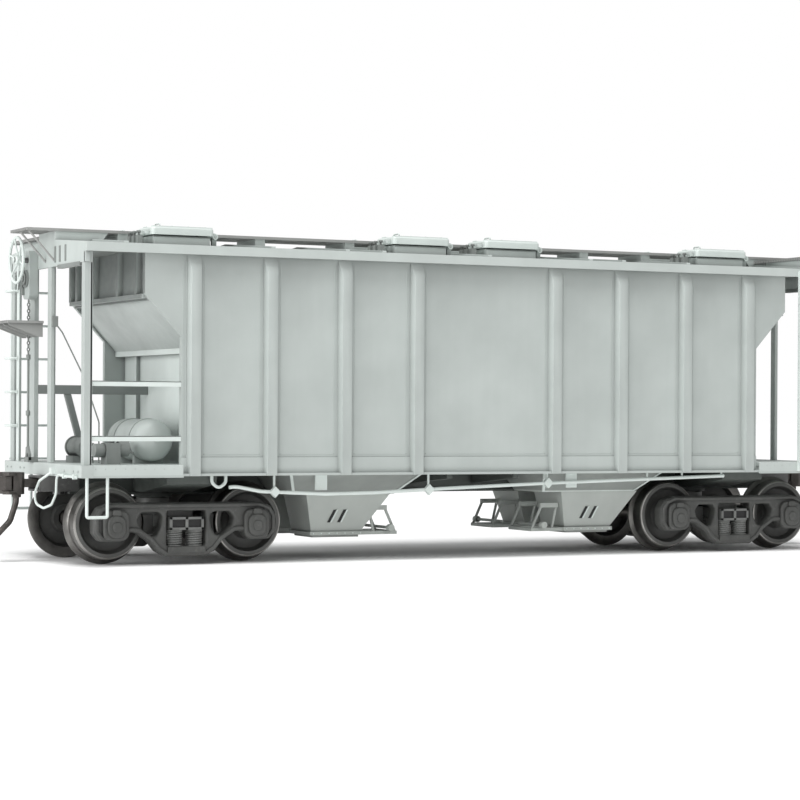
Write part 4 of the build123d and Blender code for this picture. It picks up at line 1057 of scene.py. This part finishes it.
def journal_box(plate, x, face, lid):
    """A box with a rounded hood, a domed lid and its hinge lug."""
    box = rounded_outline([(x - 6.2, 9.2), (x + 6.2, 9.2), (x + 6.2, 22.8), (x - 6.2, 22.8)], 4.2)
    plate([box], face - 0.3 * MM, lid - 0.45 * MM, 0.24)
    cover = rounded_outline([(x - 4.4, 10.4), (x + 4.4, 10.4), (x + 4.4, 20.6), (x - 4.4, 20.6)], 4.4)
    plate([cover], lid - 0.6 * MM, lid - 0.12 * MM, 0.22)
    boss = rounded_outline([(x - 2.2, 12.8), (x + 2.2, 12.8), (x + 2.2, 17.6), (x - 2.2, 17.6)], 2.2)
    plate([boss], lid - 0.3 * MM, lid, 0.10)
    lug = rounded_outline([(x - 2.4, 20.4), (x + 2.4, 20.4), (x + 1.8, 23.0), (x - 1.8, 23.0)], 0.8)
    plate([lug], lid - 0.6 * MM, lid - 0.2 * MM, 0.10)


def coil_spring(bm, x, y):
    """One truck spring as an open coil on flat ends."""
    low, high = 6.3, 13.5
    coil, wire, windings = 3.45, 0.52, 6
    path = []
    steps = windings * 18
    for step in range(steps + 1):
        turn = 2 * math.pi * step / 18
        rise = low + wire + (high - low - 2 * wire) * step / steps
        path.append(at(x + coil * math.cos(turn), y + coil * math.sin(turn), rise))
    add_tube(bm, path, wire * INCH, 8)
    add_drum(bm, at(x, y, low), at(x, y, low + 0.5), 4.0 * INCH, 24)
    add_drum(bm, at(x, y, high - 0.5), at(x, y, high), 4.0 * INCH, 24)
    add_drum(bm, at(x, y, low), at(x, y, high), 2.4 * INCH, 20)


def bolster(name, end):
    """The truck bolster with its open ends, side bearings and centre plate."""
    centre, face = end * TRUCK_CENTRE, 43.4
    node = "truck_bolster_" + name
    bm = clean_copy(node)
    for side in (-1, 1):
        for x0, x1 in ((-8.2, -7.0), (-0.7, 0.7), (7.0, 8.2)):
            add_block(bm, (centre + x0, centre + x1), (side * face, side * (face + 0.9)), (13.6, 19.4))
        for z0, z1 in ((13.6, 14.7), (18.3, 19.4)):
            add_block(bm, about(centre, 8.2), (side * face, side * (face + 0.9)), (z0, z1))
    piece(bm, "bolster_" + name, "truck_" + name, [spring_plastic], 0.06, node)
    # Thin black sheets in the open ends of the bolster: painted shade for the depth of the pockets.
    bm = bmesh.new()
    for side in (-1, 1):
        for x0, x1 in ((-7.0, -0.7), (0.7, 7.0)):
            add_block(bm, (centre + x0, centre + x1), (side * 43.2, side * 43.5), (14.7, 18.3))
    piece(bm, "bolster_pocket_shade_" + name, "truck_" + name, [painted_pocket_shade])


def wheel(bm, x, side):
    """A wheel with a filleted flange, a dished plate and a raised rim whose edge is in a brighter metal,
    a painted highlight.
    """
    tread = AXLE_HEIGHT * INCH / MM
    flange = tread + 0.64
    back, front = 7.275, 10.065
    rim = [(4.0, back), (flange - 0.30, back), (flange - 0.08, back + 0.08), (flange, back + 0.26),
           (flange - 0.06, back + 0.46), (tread + 0.24, back + 0.64), (tread + 0.07, back + 0.84),
           (tread - 0.04, front - 0.30), (tread - 0.12, front - 0.08), (tread - 0.28, front),
           (4.06, front), (3.98, front - 0.06)]
    plate = [(3.86, front - 0.50), (3.6, front - 0.86), (3.0, front - 1.05), (2.4, front - 1.02),
             (2.05, front - 0.7), (1.95, front - 0.28), (1.85, front - 0.2), (1.18, front - 0.2),
             (1.18, back - 0.24), (1.9, back - 0.24), (2.1, back + 0.5), (3.6, back + 0.74)]
    profile = [(radius * MM, side * place * MM) for radius, place in rim + plate]
    centre = at(x, 0, AXLE_HEIGHT)
    sides = 96
    faces = add_lathe(bm, profile, centre, (0, 1, 0), sides, closed=True)
    # Tread, then the two rings of the rim's edge in painted highlight, its face, and the plate.
    coats = [3] * (len(rim) - 5) + [1, 1, 2] + [0] * (len(plate) + 2)
    for number, face in enumerate(faces):
        face.material_index = coats[number // sides]


def wheelset(name, place, x):
    bm = bmesh.new()
    for side in (-1, 1):
        wheel(bm, x, side)
    node = "%s_%s" % (name, place)
    body = "wheelset_" + node
    materials = [wheel_plate, rim_painted_highlight, wheel_face, wheel_tread]
    piece(bm, "wheel_pair_" + node, body, materials, 0.0, "wheels_" + node)
    bm = bmesh.new()
    tip = [(0.0, 12.3), (0.12, 12.28), (1.12, 10.66)]
    half = tip + [(1.18, 10.6), (0.98, 6.9), (0.98, 6.5), (0.86, 6.2), (0.86, 0.0)]
    profile = [(radius, -place) for radius, place in half] + half[-2::-1]
    add_lathe(bm, scaled(profile, MM), at(x, 0, AXLE_HEIGHT), (0, 1, 0), 32)
    piece(bm, "turned_axle_" + node, body, [axle_metal], 0.0, "axle_" + node)


def truck(name, end):
    body, centre = "truck_" + name, end * TRUCK_CENTRE
    bm = bmesh.new()
    for side in (-1, 1):
        side_frame(bm, centre, side)
    frames = "side_frames_" + name
    piece(bm, "cast_" + frames, body, [truck_plastic], 0.0, frames)
    bm = bmesh.new()
    for y in (-40.0, 40.0):
        for x in (-4.9, 4.9):
            coil_spring(bm, centre + x, y)
    springs = "truck_springs_" + name
    piece(bm, "coil_springs_" + name, body, [spring_plastic], 0.0, springs)
    bolster(name, end)
    finished("brake_beams_" + name, truck_plastic, 0.06)
    wheelset(name, "outer", end * (TRUCK_CENTRE + HALF_WHEELBASE))
    wheelset(name, "inner", end * (TRUCK_CENTRE - HALF_WHEELBASE))


# -------------------------------------------------------------- couplers

def couplers():
    for name, end in ENDS:
        finished("coupler_" + name, coupler_metal, 0.14)
        finished("coupler_knuckle_" + name, coupler_metal, 0.14)
        bm = bmesh.new()
        x0, y = end * 195.0, end * -2.0
        path = [at(x0 + end * 19.6, y, COUPLER_HEIGHT - 5.0), at(x0 + end * 19.8, y, 25.0),
                at(x0 + end * 22.6, y, 16.5), at(x0 + end * 28.8, y, 10.2)]
        add_tube(bm, rounded(path, 1.8 * MM, 8), 0.40 * MM, 14)
        add_drum(bm, at(x0 + end * 19.6, y, 27.4), at(x0 + end * 19.6, y, 29.4), 0.62 * MM, 18, 0.08 * MM)
        pin = "trip_pin_" + name
        piece(bm, "trip_hose_" + name, "coupler_" + name, [coupler_metal], 0.0, pin)
    finished("coupler_boxes", box_plastic, 0.08)
    finished("screws", screw_metal, 0.03)
    finished("centring_springs", spring_metal, 0.03)


# ----------------------------------------------------------------- stage

def stage():
    floor_mesh = bpy.data.meshes.new("floor")
    half = 4.0
    corners = [(-half, -half, 0), (half, -half, 0), (half, half, 0), (-half, half, 0)]
    floor_mesh.from_pydata(corners, [], [(0, 1, 2, 3)])
    floor = bpy.data.objects.new("floor", floor_mesh)
    bpy.context.scene.collection.objects.link(floor)
    nodes = Nodes("floor_paper")
    cloud = nodes.ranged(nodes.noise(3.0, 2.0))
    tone = nodes.mixed(cloud, (0.93, 0.93, 0.93), (0.96, 0.96, 0.96))
    nodes.coat(tone)
    nodes.shader.inputs["Roughness"].default_value = 0.9
    nodes.shader.inputs["Specular IOR Level"].default_value = 0.1
    floor_mesh.materials.append(nodes.material)

    world = bpy.data.worlds.new("studio")
    bpy.context.scene.world = world
    world.use_nodes = True
    tree = world.node_tree
    background = tree.nodes["Background"]
    paths = tree.nodes.new("ShaderNodeLightPath")
    shown = tree.nodes.new("ShaderNodeMapRange")
    # The surroundings look white and light the car with less than half of that.
    shown.inputs["To Min"].default_value = 0.44
    shown.inputs["To Max"].default_value = 1.0
    tree.links.new(paths.outputs["Is Camera Ray"], shown.inputs["Value"])
    background.inputs["Color"].default_value = (1.0, 1.0, 1.0, 1.0)
    tree.links.new(shown.outputs["Result"], background.inputs["Strength"])

    add_light("key", (-0.36, -0.40, 0.50), 0.30, 0.80)
    add_light("front_fill", (0.10, -0.72, 0.16), 0.40, 0.18)
    add_light("end_fill", (-0.62, -0.10, 0.14), 0.34, 1.75)
    sun = bpy.data.lights.new("top_light", "SUN")
    sun.energy = 2.2
    sun.angle = math.radians(24)
    lamp = bpy.data.objects.new("top_light", sun)
    lamp.rotation_euler = (math.radians(14), math.radians(-8), 0)
    bpy.context.scene.collection.objects.link(lamp)


def add_light(name, place, size, power):
    light = bpy.data.lights.new(name, "AREA")
    light.shape = "DISK"
    light.size = size
    light.energy = power
    lamp = bpy.data.objects.new(name, light)
    lamp.location = place
    target = Vector((0, 0, 0.02))
    lamp.rotation_euler = (target - Vector(place)).to_track_quat("-Z", "Y").to_euler()
    bpy.context.scene.collection.objects.link(lamp)


def camera():
    """The three-quarter view from the hand-brake end, level with the body."""
    data = bpy.data.cameras.new("camera")
    data.sensor_width = 36.0
    data.lens = 107.73
    data.shift_y = 0.0153
    data.clip_start = 0.01
    viewer = bpy.data.objects.new("camera", data)
    place, yaw, roll = (-0.159154, -0.308524, 0.020301), math.radians(26.442), 0.006
    level = Matrix.Rotation(math.pi / 2, 4, "X")
    turn = Matrix.Rotation(-yaw, 4, "Z") @ level @ Matrix.Rotation(roll, 4, "Z")
    viewer.matrix_world = Matrix.Translation(place) @ turn
    bpy.context.scene.collection.objects.link(viewer)
    bpy.context.scene.camera = viewer
    bpy.context.scene.view_settings.view_transform = "Standard"


camera()
stage()
body_skin()
underframe_skin()
panel_seams()
running_boards()
hatches()
ladders()
end_framing()
hand_rails()
stirrups()
side_pipe()
uncoupling_levers()
brake_wheel()
brake_gear()
brake_step()
air_tank()
brake_cylinder()
air_valve()
small_pipes()
bays()
for name, end in ENDS:
    truck(name, end)
couplers()
